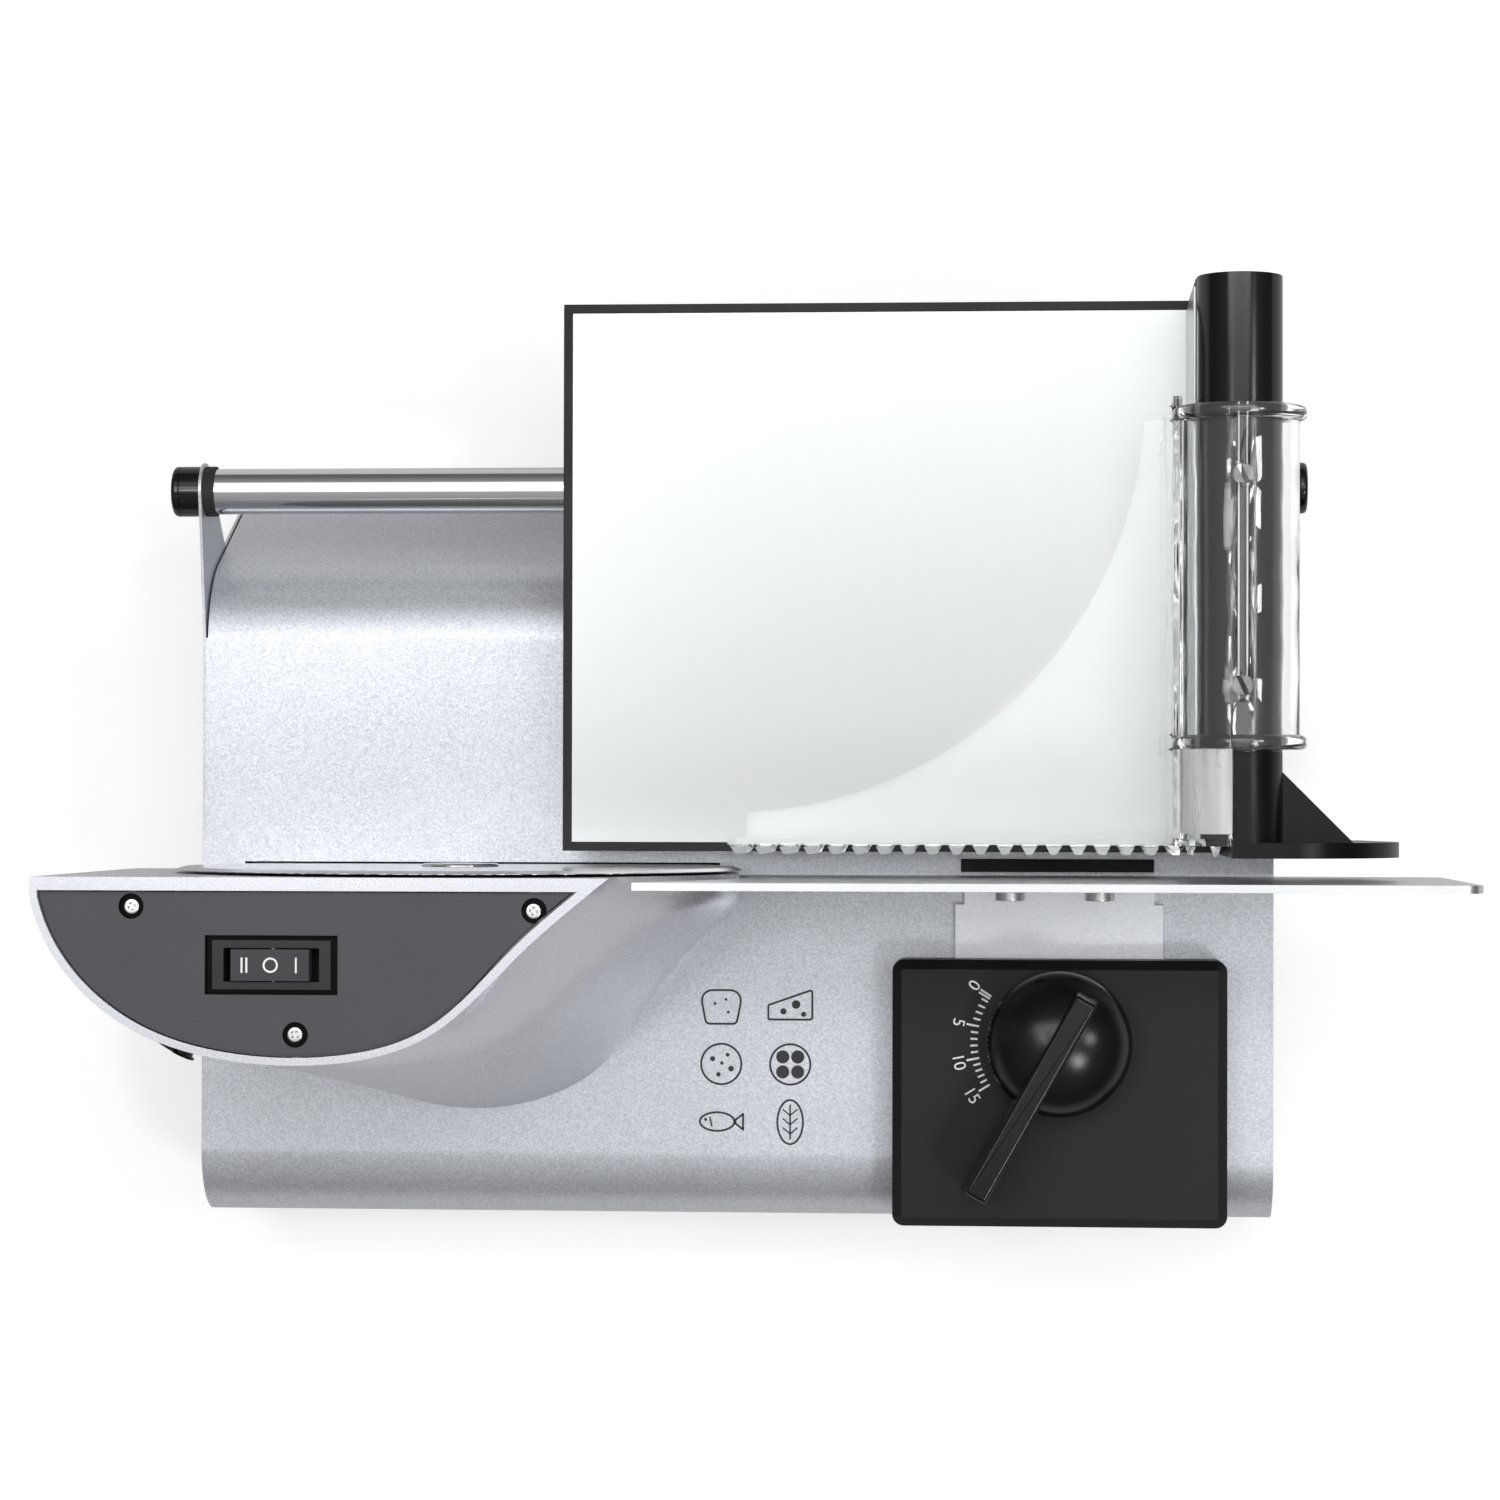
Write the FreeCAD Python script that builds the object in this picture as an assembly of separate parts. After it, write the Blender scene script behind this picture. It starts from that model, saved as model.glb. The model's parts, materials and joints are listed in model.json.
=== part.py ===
"""Electric food slicer with a round blade, a sliding tray on a rod and a clear food holder.

Machine frame used while modelling, in millimetres: X runs along the slide rod towards the stop
plate, Y runs from the user towards the rod, Z runs up from the table. Its origin lies on the
table under the blade's axis, in the plane of the cutting edge. The finished solids are moved so
that the row's origin is the middle of the machine's footprint on the table.
"""
import FreeCAD, Part
import math
import os

Vec = FreeCAD.Vector

# Clearances
RUN_GAP = 0.05          # radial running clearance of a shaft in its bush
SLIDE_GAP = 0.3         # clearance between faces that slide past each other
FIT_GAP = 0.3           # clearance round a cover dropped into its seat
BLADE_GAP = 0.5         # blade's back to the housing
SLOT_GAP = 0.6          # blade to the slot in the base

# Base
BASE_WIDTH = 373.3
BASE_HEIGHT = 78.0      # from the sheet's lower edge to the flat top
BASE_LEFT = -98.6       # outer face of the left side plate
BASE_FRONT = -122.0
BASE_FLAT_BACK = 78.0   # where the flat top starts to roll down at the back
SHEET = 1.5
SIDE_SHEET = 1.0        # side plates
SEAM_GAP = 0.7          # open seam between shell and side plates at the back
FRONT_ROLL = 23.0
BACK_ROLL = 32.0
BACK_SLOPE = 64.2       # degrees below horizontal
FLANGE_WIDTH = 26.0     # inward flange at the foot of each side plate
EAR_RADIUS = 10.0
FIN_DROP = 33.0         # where the rod's bracket leaves the back slope, under the top

# Feet and bottom cover
FOOT_HEIGHT = 6.0
FOOT_RADIUS = 12.0
FOOT_INSET = 14.0       # foot's axis from the side plate's outer face
COVER_THICK = 2.0
VENT_COUNT = 9
VENT_PITCH = 7.0
VENT_SIZE = (3.0, 46.0)

# Blade and its drive
BLADE_DIAMETER = 190.0
BLADE_THICK = 1.5
BLADE_RISE = 52.0       # axis above the base's flat top
BLADE_BEVEL = 9.0
HUB_RADIUS = 8.0
HUB_FLANGE_RADIUS = 14.0
HUB_FLANGE_THICK = 2.5
LOCK_HEAD_RADIUS = 13.0
LOCK_HEAD_THICK = 1.0
LOCK_SHANK_RADIUS = 3.9
BUSH_WALL = 3.0
BOSS_WALL = 4.0
BOSS_LENGTH = 27.0
GEAR_MODULE = 1.5
WHEEL_TEETH = 40
WHEEL_WIDTH = 8.0
WHEEL_PLANE = -36.0     # middle of the worm wheel, behind the cutting plane
WORM_PITCH_RADIUS = 6.0
WORM_TURNS = 6

# Motor
MOTOR_RADIUS = 28.0
MOTOR_WALL = 1.5
MOTOR_BOTTOM = 30.0     # above the table
MOTOR_TOP_DROP = 40.0   # motor's top plate under the blade's axis
SHAFT_RADIUS = 4.0
WORM_SHAFT_RADIUS = 3.0
ROTOR_RADIUS = 17.5
AIR_GAP = 0.5
ROTOR_SLOTS = 12
STACK_LENGTH = 36.0
FAN_BLADES = 9
BRACKET_THICK = 3.0

# Motor housing
HOUSING_RISE = 150.0    # rim above the base's flat top
HOUSING_LEFT = -122.4
HOUSING_FACE = -1.0     # flat side that carries the blade
HOUSING_WALL = 2.5
FACE_WALL = 4.3
RIM_RIGHT = 60.5
DEFLECTOR_INSET = 1.5   # housing's edge inside the cutting edge
RIM_LEFT_RUN = 6.0
RIM_POINTS = [(-109.0, -33.4), (-87.0, -50.2), (-57.0, -58.7), (-27.7, -59.4), (2.5, -51.4)]
FOOT_POINTS = [(-110.0, -33.4), (-89.0, -52.0), (-51.0, -71.0), (-5.0, -84.2), (43.5, -68.0)]
FLARE = [[(-26.5, -22.5), (-13.5, -20.5), (-11.5, -29.3)],
         [(-13.5, -11.0), (0.3, -7.0), (-3.0, -11.0)]]
SECTION_COUNT = 7

# Switch panel
PANEL_INSET = 2.0       # panel's top under the rim
PANEL_THICK = 3.0
PANEL_POINTS = 14
PANEL_SCREWS = [(-90.4, -10.2), (36.9, -11.2), (-38.2, -50.3)]
SCREW_HEAD_RADIUS = 2.6
SCREW_SHANK_RADIUS = 1.5
SCREW_WELL_RADIUS = 4.0
SCREW_WELL_DEPTH = 1.2
PANEL_BOSS_RADIUS = 4.5
PANEL_BOSS_LENGTH = 16.0
SWITCH_CENTRE = (-45.9, -28.5)
SWITCH_BEZEL = (37.6, 15.5, 1.2)
SWITCH_WELL = (42.0, 18.6, 1.4)
SWITCH_BODY = (32.6, 12.8, 17.0)
SWITCH_OPENING = (30.2, 10.5)
ROCKER_SIZE = (24.8, 9.9)
ROCKER_RISE = 3.2
ROCKER_DIP = 1.2
ROCKER_DEPTH = 8.0

# Mains inlet gland
GLAND_RISE = 72.0       # above the base's flat top
GLAND_RADIUS = 6.5
GLAND_FLANGE = (9.0, 3.0)
GLAND_REACH = 14.0
GLAND_NUT = (9.5, 5.0)
CORD_RADIUS = 3.6

# Stop plate and its carrier
PLATE_THICK = 2.5
PLATE_FRONT = -2.4
PLATE_LEFT = 67.0
PLATE_RIGHT = 330.8
PLATE_BOTTOM_RISE = 8.0
PLATE_TOP_RISE = 145.0
PLATE_GAP = 2.5         # from the cutting edge to the plate's round edge
PLATE_CORNER = 7.0
PLATE_TRAVEL = 15.0
CARRIER_WIDTH = 71.5
CARRIER_THICK = 2.5
CARRIER_FLANGE = 44.0
CARRIER_TAIL = 22.0     # beyond the knob's axis
BOLT_SPACING = 30.4
BOLT_RISE = 25.0
BOLT_RADIUS = 2.5
BOLT_HEAD = (5.0, 3.2)
GUIDE_SPACING = 46.0
GUIDE_RADIUS = 3.0
GUIDE_HEAD = (5.5, 2.2)
BUFFER_SIZE = (66.4, 4.4, 3.0)

# Thickness knob and cam
KNOB_X = 201.1
KNOB_Y = -58.8
KNOB_SWING = 62.0       # degrees for the whole plate travel
KNOB_RADIUS = 24.9
KNOB_SKIRT = 13.0
KNOB_HEIGHT = 30.0
GRIP_TOP_WIDTH = 7.6
GRIP_FOOT_WIDTH = 10.2
GRIP_BOTTOM = 9.0       # bar's underside above the box
GRIP_HEIGHT = 33.0
GRIP_TOP = (-18.0, 57.6)
GRIP_FOOT = (-22.0, 59.6)
GRIP_ANGLE = 240.6
SPINDLE_RADIUS = 5.0
NUT_HEIGHT = 4.0
WASHER_HEIGHT = 2.9
CAM_THICK = 3.0
CAM_START = 14.0        # follower's distance from the spindle at zero thickness
CAM_WALL = 4.0
CAM_HUB_RADIUS = 8.5
PIN_RADIUS = 2.5
CAM_STEPS = 8

# Knob box
BOX_WIDTH = 114.0
BOX_BACK = -31.0
BOX_HEIGHT = 20.0
BOX_WALL = 2.5
BOX_BEVEL = 3.2
BOX_SKIRT = 11.5        # how far the box reaches down over the base's front roll
BOX_CORNER = 4.0
BOX_POST_RADIUS = 4.5
BOX_POST_INSET = 9.0

# Slide rod
ROD_DIAMETER = 16.0
ROD_Y = 131.3
ROD_CAP_LENGTHS = (10.2, 11.2)
ROD_CAP_GROOVE = (2.6, 0.5, 0.4)   # from the cap's end, width, depth
ROD_CAP_WALL = 0.8
ROD_SOCKET = 8.0
COLLAR_LENGTH = 4.0
COLLAR_WALL = 0.8

# Carriage
TRAY_LEFT = 32.0
TRAY_FRONT = 6.0
TRAY_DEPTH = 186.5
TRAY_RISE = 30.0        # sheet above the base's flat top
TRAY_LIP = 3.0
TRAY_SKIRT = 12.6
TRAY_FLOOR = 3.0
LIP_PROUD = 0.5
STEEL_SHEET = 0.8
WALL_THICK = 2.5
WALL_FRONT = 13.0
SADDLE_THICK = 2.0
BLOCK_LENGTH = 100.0
BLOCK_LEFT = 88.0
BLOCK_DEPTH = 34.0
BLOCK_UNDER = 14.0
BLOCK_BUSH_LENGTH = 20.0
BLOCK_BUSH_WALL = 3.0
LEG_PLACES = [100.0, 205.0]
LEG_Y = 25.0
LEG_SIZE = 14.0
PAD_RADIUS = 6.0
PAD_HEIGHT = 6.0
CARRIAGE_LEFT_TRAVEL = 178.0

# Handle tube and thumb guard
TUBE_DIAMETER = 27.5
TUBE_WALL = 2.5
TUBE_RISE = 96.0        # axis above the base's flat top
TUBE_FRONT = 39.0
TUBE_END_INSET = 0.5    # tube's end short of the tray's back edge
GUARD_FRONT = 5.2
GUARD_THICK = 5.0
GUARD_RIGHT = 311.0
GUARD_CUT = -2.8        # left edge of the guard from the tube's axis
GUARD_FLAT = 16.0
GUARD_DROP = 46.0
GUSSET = (23.0, 23.0, 3.0)
SPIGOT_LENGTH = 16.0
SPIGOT_GAP = 0.05

# Clear food holder
SLEEVE_START = 40.0
SLEEVE_LENGTH = 110.0
SLEEVE_CLEAR = 2.9        # free space round the tube inside the sleeve
SLEEVE_WALL = 2.5
SLEEVE_OPEN = -30.0     # where the open sleeve's right edge ends, degrees from +X
FLANGE_RISE = 2.45
FLANGE_THICK = 4.5
FLANGE_END = 180.0
LEG_BEYOND = 3.5        # leg and web past the sleeve's back end
LINER_THICK = 1.7
HOLDER_LEFT = 93.0
HOLDER_LIFT = 3.3       # holder's lower edge above the steel sheet
HOLDER_PLATE = (9.1, 11.4)
HOLDER_TOP_DROP = 4.0   # spike plate's top under the tube's axis
LEG_THICK = 3.0
WEB_THICK = 2.5
WEB_RADIUS = 140.0
WEB_NOSE = 10.2         # depth of the web at its left tip
EXTENSION_START = 100.0
ARCH_SPIKES = (116.0, 147.0)
SPIKE_PITCH = 7.9
SPIKE_ROW_PITCH = 9.0
SPIKE_BASE = 5.6
SPIKE_HEIGHT = 3.2
SPIKE_TIP = 0.36        # tip's width as a share of the base's
SPIKE_ROWS = 6
HOLDER_SLIDE = 38.0
HOLDER_SWING = 80.0

# Levels and places worked out from the sizes above
COVER_BOTTOM = FOOT_HEIGHT
BASE_BOTTOM = FOOT_HEIGHT + COVER_THICK
BASE_TOP = BASE_BOTTOM + BASE_HEIGHT
BASE_RIGHT = BASE_LEFT + BASE_WIDTH
UNDER_SHEET = BASE_TOP - SHEET
BLADE_RADIUS = BLADE_DIAMETER / 2
BLADE_Z = BASE_TOP + BLADE_RISE
BLADE_BACK = HOUSING_FACE + BLADE_GAP
BLADE_FACE = BLADE_BACK + BLADE_THICK
HOUSING_TOP = BASE_TOP + HOUSING_RISE
HOUSING_INNER = HOUSING_FACE - FACE_WALL
WHEEL_PITCH_RADIUS = GEAR_MODULE * WHEEL_TEETH / 2
WORM_PITCH = math.pi * GEAR_MODULE
MOTOR_X = -(WHEEL_PITCH_RADIUS + WORM_PITCH_RADIUS)
MOTOR_Y = WHEEL_PLANE
MOTOR_TOP = BLADE_Z - MOTOR_TOP_DROP
PANEL_TOP = HOUSING_TOP - PANEL_INSET
PANEL_BOTTOM = PANEL_TOP - PANEL_THICK
PLATE_BACK = PLATE_FRONT - PLATE_THICK
PLATE_RADIUS = BLADE_RADIUS + PLATE_GAP
PLATE_BOTTOM = BASE_TOP + PLATE_BOTTOM_RISE
PLATE_TOP = BASE_TOP + PLATE_TOP_RISE
CARRIER_BOTTOM = BASE_TOP + SLIDE_GAP
CARRIER_TOP = CARRIER_BOTTOM + CARRIER_THICK
CARRIER_LEFT = KNOB_X - CARRIER_WIDTH / 2
CARRIER_RIGHT = KNOB_X + CARRIER_WIDTH / 2
CARRIER_END = KNOB_Y - CARRIER_TAIL
BOX_LEFT = KNOB_X - BOX_WIDTH / 2
BOX_RIGHT = KNOB_X + BOX_WIDTH / 2
BOX_TOP = BASE_TOP + BOX_HEIGHT
CAM_BOTTOM = CARRIER_TOP + GUIDE_HEAD[1] + 2 * SLIDE_GAP
CAM_TOP = CAM_BOTTOM + CAM_THICK
CAM_RATE = PLATE_TRAVEL / math.radians(KNOB_SWING)
ROD_RADIUS = ROD_DIAMETER / 2
ROD_Z = BASE_TOP
TRAY_TOP = BASE_TOP + TRAY_RISE
SHEET_UNDER = TRAY_TOP - STEEL_SHEET
FLOOR_UNDER = SHEET_UNDER - TRAY_FLOOR
TRAY_UNDER = TRAY_TOP + LIP_PROUD - TRAY_SKIRT
TRAY_BACK = TRAY_FRONT + TRAY_DEPTH
TUBE_RADIUS = TUBE_DIAMETER / 2
TUBE_Z = BASE_TOP + TUBE_RISE
WALL_RIGHT = 246.7
WALL_LEFT = WALL_RIGHT - WALL_THICK
TUBE_X = WALL_LEFT + TUBE_RADIUS + SLIDE_GAP / 6
TUBE_BACK = TRAY_BACK - TUBE_END_INSET
WALL_TOP = TUBE_Z - 6.0
GUARD_LEFT = TUBE_X + GUARD_CUT
GUARD_BACK = GUARD_FRONT + GUARD_THICK
SLEEVE_END = SLEEVE_START + SLEEVE_LENGTH
SLEEVE_INNER = TUBE_RADIUS + SLEEVE_CLEAR
SLEEVE_OUTER = SLEEVE_INNER + SLEEVE_WALL
FLANGE_OUTER = SLEEVE_OUTER + FLANGE_RISE
LINER_INNER = TUBE_RADIUS + 2 * RUN_GAP
LINER_OUTER = LINER_INNER + LINER_THICK
HOLDER_BOTTOM = TRAY_TOP + HOLDER_LIFT
HOLDER_TOP = TUBE_Z - HOLDER_TOP_DROP
HOLDER_RIGHT = WALL_LEFT - STEEL_SHEET - SLIDE_GAP
HOLDER_LEG_LEFT = TUBE_X - FLANGE_OUTER + 0.2
SPIGOT_OUTER = TUBE_RADIUS - TUBE_WALL - SPIGOT_GAP

# The row's origin in the machine frame
ORIGIN = Vec((HOUSING_LEFT + PLATE_RIGHT) / 2, (BASE_FRONT + TRAY_BACK) / 2, 0)


# Basic shapes

def box(x, y, z):
    """Box between two values on each axis."""
    return Part.makeBox(x[1] - x[0], y[1] - y[0], z[1] - z[0], Vec(x[0], y[0], z[0]))


def cyl_x(radius, y, z, x0, x1):
    return Part.makeCylinder(radius, x1 - x0, Vec(x0, y, z), Vec(1, 0, 0))


def cyl_y(radius, x, z, y0, y1):
    return Part.makeCylinder(radius, y1 - y0, Vec(x, y0, z), Vec(0, 1, 0))


def cyl_z(radius, x, y, z0, z1):
    return Part.makeCylinder(radius, z1 - z0, Vec(x, y, z0), Vec(0, 0, 1))


def ring_x(outer, inner, y, z, x0, x1):
    return cyl_x(outer, y, z, x0, x1).cut(cyl_x(inner, y, z, x0, x1))


def ring_y(outer, inner, x, z, y0, y1):
    return cyl_y(outer, x, z, y0, y1).cut(cyl_y(inner, x, z, y0, y1))


def ring_z(outer, inner, x, y, z0, z1):
    return cyl_z(outer, x, y, z0, z1).cut(cyl_z(inner, x, y, z0, z1))


def line(a, b):
    return Part.LineSegment(a, b).toShape()


def arc(a, b, c):
    return Part.Arc(a, b, c).toShape()


def face_of(edges):
    return Part.Face(Part.Wire(edges))


def polygon_face(points):
    return Part.Face(Part.makePolygon(points + [points[0]]))


def prism_x(points, x0, x1):
    """Outline of (y, z) points pushed along X."""
    return polygon_face([Vec(x0, y, z) for y, z in points]).extrude(Vec(x1 - x0, 0, 0))


def prism_y(points, y0, y1):
    """Outline of (x, z) points pushed along Y."""
    return polygon_face([Vec(x, y0, z) for x, z in points]).extrude(Vec(0, y1 - y0, 0))


def prism_z(points, z0, z1):
    """Outline of (x, y) points pushed along Z."""
    return polygon_face([Vec(x, y, z0) for x, y in points]).extrude(Vec(0, 0, z1 - z0))


def spun(points, centre, axis):
    """Solid of revolution from an outline that lies in a plane through the axis."""
    return polygon_face(points).revolve(centre, axis, 360)


def sector_y(inner, outer, start, end, x, z, y0, y1):
    """Part of a tube along Y, between two angles measured from +X towards +Z."""
    def at(radius, degrees):
        turn = math.radians(degrees)
        return Vec(x + radius * math.cos(turn), y0, z + radius * math.sin(turn))
    middle = (start + end) / 2
    edges = [arc(at(outer, start), at(outer, middle), at(outer, end)),
             line(at(outer, end), at(inner, end)),
             arc(at(inner, end), at(inner, middle), at(inner, start)),
             line(at(inner, start), at(outer, start))]
    return face_of(edges).extrude(Vec(0, y1 - y0, 0))


def fused(first, *others):
    shape = first.fuse(list(others))
    return shape.removeSplitter()


def cut(shape, *tools):
    return shape.cut(list(tools))


def screw_z(head_radius, head_height, shank_radius, x, y, top, tip):
    """Screw with its head upwards; top is the head's top and tip the shank's end."""
    head = cyl_z(head_radius, x, y, top - head_height, top)
    slot = head_radius * 1.3
    driver = [box((x - slot / 2, x + slot / 2), (y - 0.4, y + 0.4), (top - 0.8, top)),
              box((x - 0.4, x + 0.4), (y - slot / 2, y + slot / 2), (top - 0.8, top))]
    return cut(fused(head, cyl_z(shank_radius, x, y, tip, top - head_height)), *driver)


# Base

def slope_run():
    """Horizontal run per millimetre of fall on the back slope."""
    return 1 / math.tan(math.radians(BACK_SLOPE))


def slope_end(inset):
    """Where the back roll meets the slope, as (y, z)."""
    turn = math.radians(BACK_SLOPE)
    radius = BACK_ROLL - inset
    return (BASE_FLAT_BACK + radius * math.sin(turn),
            BASE_TOP - BACK_ROLL + radius * math.cos(turn))


def base_back(z):
    """Y of the back slope's outer face at a height."""
    y, top = slope_end(0)
    return y + (top - z) * slope_run()


def base_profile(inset, x0, x1, bottom):
    """Solid under the base's curved outline, drawn in by the inset."""
    front = BASE_FRONT + inset
    top = BASE_TOP - inset
    front_mid = (BASE_FRONT + FRONT_ROLL, BASE_TOP - FRONT_ROLL)
    front_radius = FRONT_ROLL - inset
    back_mid = (BASE_FLAT_BACK, BASE_TOP - BACK_ROLL)
    back_radius = BACK_ROLL - inset
    half = math.radians(45)
    turn = math.radians(BACK_SLOPE)
    end_y, end_z = slope_end(inset)
    low_y = end_y + (end_z - bottom) * slope_run()

    def at(y, z):
        return Vec(x0, y, z)
    edges = [line(at(front, bottom), at(front, front_mid[1])),
             arc(at(front, front_mid[1]),
                 at(front_mid[0] - front_radius * math.sin(half),
                    front_mid[1] + front_radius * math.cos(half)),
                 at(front_mid[0], top)),
             line(at(front_mid[0], top), at(back_mid[0], top)),
             arc(at(back_mid[0], top),
                 at(back_mid[0] + back_radius * math.sin(turn / 2),
                    back_mid[1] + back_radius * math.cos(turn / 2)),
                 at(end_y, end_z)),
             line(at(end_y, end_z), at(low_y, bottom)),
             line(at(low_y, bottom), at(front, bottom))]
    return face_of(edges).extrude(Vec(x1 - x0, 0, 0))


def foot_places():
    back = base_back(BASE_BOTTOM)
    return [(x, y) for x in (BASE_LEFT + FOOT_INSET, BASE_RIGHT - FOOT_INSET)
            for y in (BASE_FRONT + FOOT_INSET + 4, back - FOOT_INSET - 8)]


def cover_screw_places():
    middle = (BASE_FRONT + base_back(BASE_BOTTOM)) / 2
    return [(x, middle + step) for x in (BASE_LEFT + FOOT_INSET, BASE_RIGHT - FOOT_INSET)
            for step in (-40, 40)]


def box_post_places():
    return [(x, y) for x in (BOX_LEFT + BOX_POST_INSET, BOX_RIGHT - BOX_POST_INSET)
            for y in (BOX_BACK - BOX_POST_INSET, BASE_FRONT + FRONT_ROLL + 4)]


def guide_places():
    return [(KNOB_X + side * GUIDE_SPACING / 2, KNOB_Y) for side in (-1, 1)]


def blade_slot():
    half = math.sqrt(BLADE_RADIUS ** 2 - BLADE_RISE ** 2) + 4
    return (-half, half)


def base_shell():
    x0 = BASE_LEFT + SIDE_SHEET
    x1 = BASE_RIGHT - SIDE_SHEET
    shell = cut(base_profile(0, x0, x1, BASE_BOTTOM),
                base_profile(SHEET, x0, x1, BASE_BOTTOM))
    through = (UNDER_SHEET - 1, BASE_TOP + 1)
    tools = [box(blade_slot(), (BLADE_BACK - SLOT_GAP, BLADE_FACE + SLOT_GAP), through),
             cyl_z(MOTOR_RADIUS + 2, MOTOR_X, MOTOR_Y, *through),
             cyl_z(SPINDLE_RADIUS + SLIDE_GAP, KNOB_X, KNOB_Y, *through)]
    tools += [cyl_z(GUIDE_RADIUS, x, y, *through) for x, y in guide_places()]
    tools += [cyl_z(SCREW_SHANK_RADIUS, x, y, *through) for x, y in box_post_places()]
    tools += [cyl_z(SCREW_SHANK_RADIUS, x, y, *through) for x, y in housing_screw_places()]
    seam = (BASE_FLAT_BACK + 2, ROD_Y + EAR_RADIUS), (0, BASE_TOP + 1)
    tools += [box((x0 - 1, x0 + SEAM_GAP), *seam), box((x1 - SEAM_GAP, x1 + 1), *seam)]
    return [cut(shell, *tools)]


def side_plate(x0, x1, inward):
    """Side plate with its rear ear round the rod and a flange at its foot."""
    plate = base_profile(0, x0, x1, BASE_BOTTOM)
    ear = cyl_x(EAR_RADIUS, ROD_Y, ROD_Z, x0, x1)
    foot_y = base_back(BASE_BOTTOM)
    fin_z = BASE_TOP - FIN_DROP
    fin = prism_x([(BASE_FLAT_BACK, BASE_TOP), (ROD_Y, BASE_TOP + EAR_RADIUS),
                   (ROD_Y + 0.8 * EAR_RADIUS, ROD_Z - 0.6 * EAR_RADIUS),
                   (base_back(fin_z), fin_z), (BASE_FLAT_BACK, BASE_TOP - BACK_ROLL)], x0, x1)
    edge = x1 if inward > 0 else x0
    flange = box(sorted((edge, edge + inward * FLANGE_WIDTH)),
                 (BASE_FRONT + 2 * SHEET, foot_y - 5), (BASE_BOTTOM, BASE_BOTTOM + SHEET))
    tools = [cyl_x(ROD_RADIUS, ROD_Y, ROD_Z, x0 - 1, x1 + 1)]
    for x, y in foot_places() + cover_screw_places():
        tools.append(cyl_z(SCREW_SHANK_RADIUS, x, y, BASE_BOTTOM - 1, BASE_BOTTOM + 3))
    return [cut(fused(plate, ear, fin, flange), *tools)]


def base_side_left():
    return side_plate(BASE_LEFT, BASE_LEFT + SIDE_SHEET, 1)


def base_side_right():
    return side_plate(BASE_RIGHT - SIDE_SHEET, BASE_RIGHT, -1)


def bottom_cover():
    plate = box((BASE_LEFT, BASE_RIGHT), (BASE_FRONT, base_back(BASE_BOTTOM)),
                (COVER_BOTTOM, BASE_BOTTOM))
    tools = []
    for index in range(VENT_COUNT):
        x = MOTOR_X + (index - (VENT_COUNT - 1) / 2) * VENT_PITCH
        tools.append(box((x - VENT_SIZE[0] / 2, x + VENT_SIZE[0] / 2),
                         (MOTOR_Y - VENT_SIZE[1] / 2, MOTOR_Y + VENT_SIZE[1] / 2),
                         (COVER_BOTTOM - 1, BASE_BOTTOM + 1)))
    for x, y in foot_places() + cover_screw_places():
        tools.append(cyl_z(SCREW_SHANK_RADIUS, x, y, COVER_BOTTOM - 1, BASE_BOTTOM + 1))
    return [cut(plate, *tools)]


def rubber_feet():
    feet = []
    for x, y in foot_places():
        pad = Part.makeCone(FOOT_RADIUS - 1.5, FOOT_RADIUS, FOOT_HEIGHT, Vec(x, y, 0))
        well = cyl_z(4.2, x, y, -1, FOOT_HEIGHT - 2.5)
        bore = cyl_z(SCREW_SHANK_RADIUS, x, y, 0, FOOT_HEIGHT + 1)
        feet.append(cut(pad, well, bore))
    return feet


def base_screws():
    """Screws of the four feet and of the bottom cover."""
    screws = []
    for x, y in foot_places():
        head = cyl_z(3.6, x, y, FOOT_HEIGHT - 4.5, FOOT_HEIGHT - 2.5)
        shank = cyl_z(SCREW_SHANK_RADIUS, x, y, FOOT_HEIGHT - 2.5, BASE_BOTTOM + 5)
        screws.append(fused(head, shank))
    for x, y in cover_screw_places():
        head = cyl_z(3.4, x, y, COVER_BOTTOM - 2, COVER_BOTTOM)
        shank = cyl_z(SCREW_SHANK_RADIUS, x, y, COVER_BOTTOM, BASE_BOTTOM + 5)
        screws.append(fused(head, shank))
    return screws


# Motor housing

def mix(a, b, share):
    return (a[0] + (b[0] - a[0]) * share, a[1] + (b[1] - a[1]) * share)


def through(share, rim, level, foot):
    """Quadratic change from the rim to the foot through a value at the blade axis's level."""
    mid = 1 - BLADE_RISE / HOUSING_RISE
    weights = [(share - mid) * (share - 1) / mid, share * (share - 1) / (mid * (mid - 1)),
               share * (share - mid) / (1 - mid)]
    return tuple(sum(w * value[axis] for w, value in zip(weights, (rim, level, foot)))
                 for axis in (0, 1))


def housing_right(z):
    """Right end of the flat side: straight at the rim, round behind the cutting edge."""
    radius = BLADE_RADIUS - DEFLECTOR_INSET
    height = min(abs(z - BLADE_Z), radius)
    return max(RIM_RIGHT, math.sqrt(radius ** 2 - height ** 2))


def housing_points(z):
    """Outer outline of the housing at a height, from its left edge round to the flat side."""
    share = (HOUSING_TOP - z) / HOUSING_RISE
    right = housing_right(z)
    points = [(HOUSING_LEFT, HOUSING_FACE - RIM_LEFT_RUN)]
    points += [mix(a, b, share) for a, b in zip(RIM_POINTS, FOOT_POINTS)]
    for steps in FLARE:
        dx, dy = through(share, *steps)
        points.append((right + dx, HOUSING_FACE + dy))
    points.append((right, HOUSING_FACE))
    return points


def outward(a, b):
    """Unit normal on the outer side of a step from a to b along the outline."""
    dx, dy = b[0] - a[0], b[1] - a[1]
    length = math.hypot(dx, dy)
    return (dy / length, -dx / length)


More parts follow.
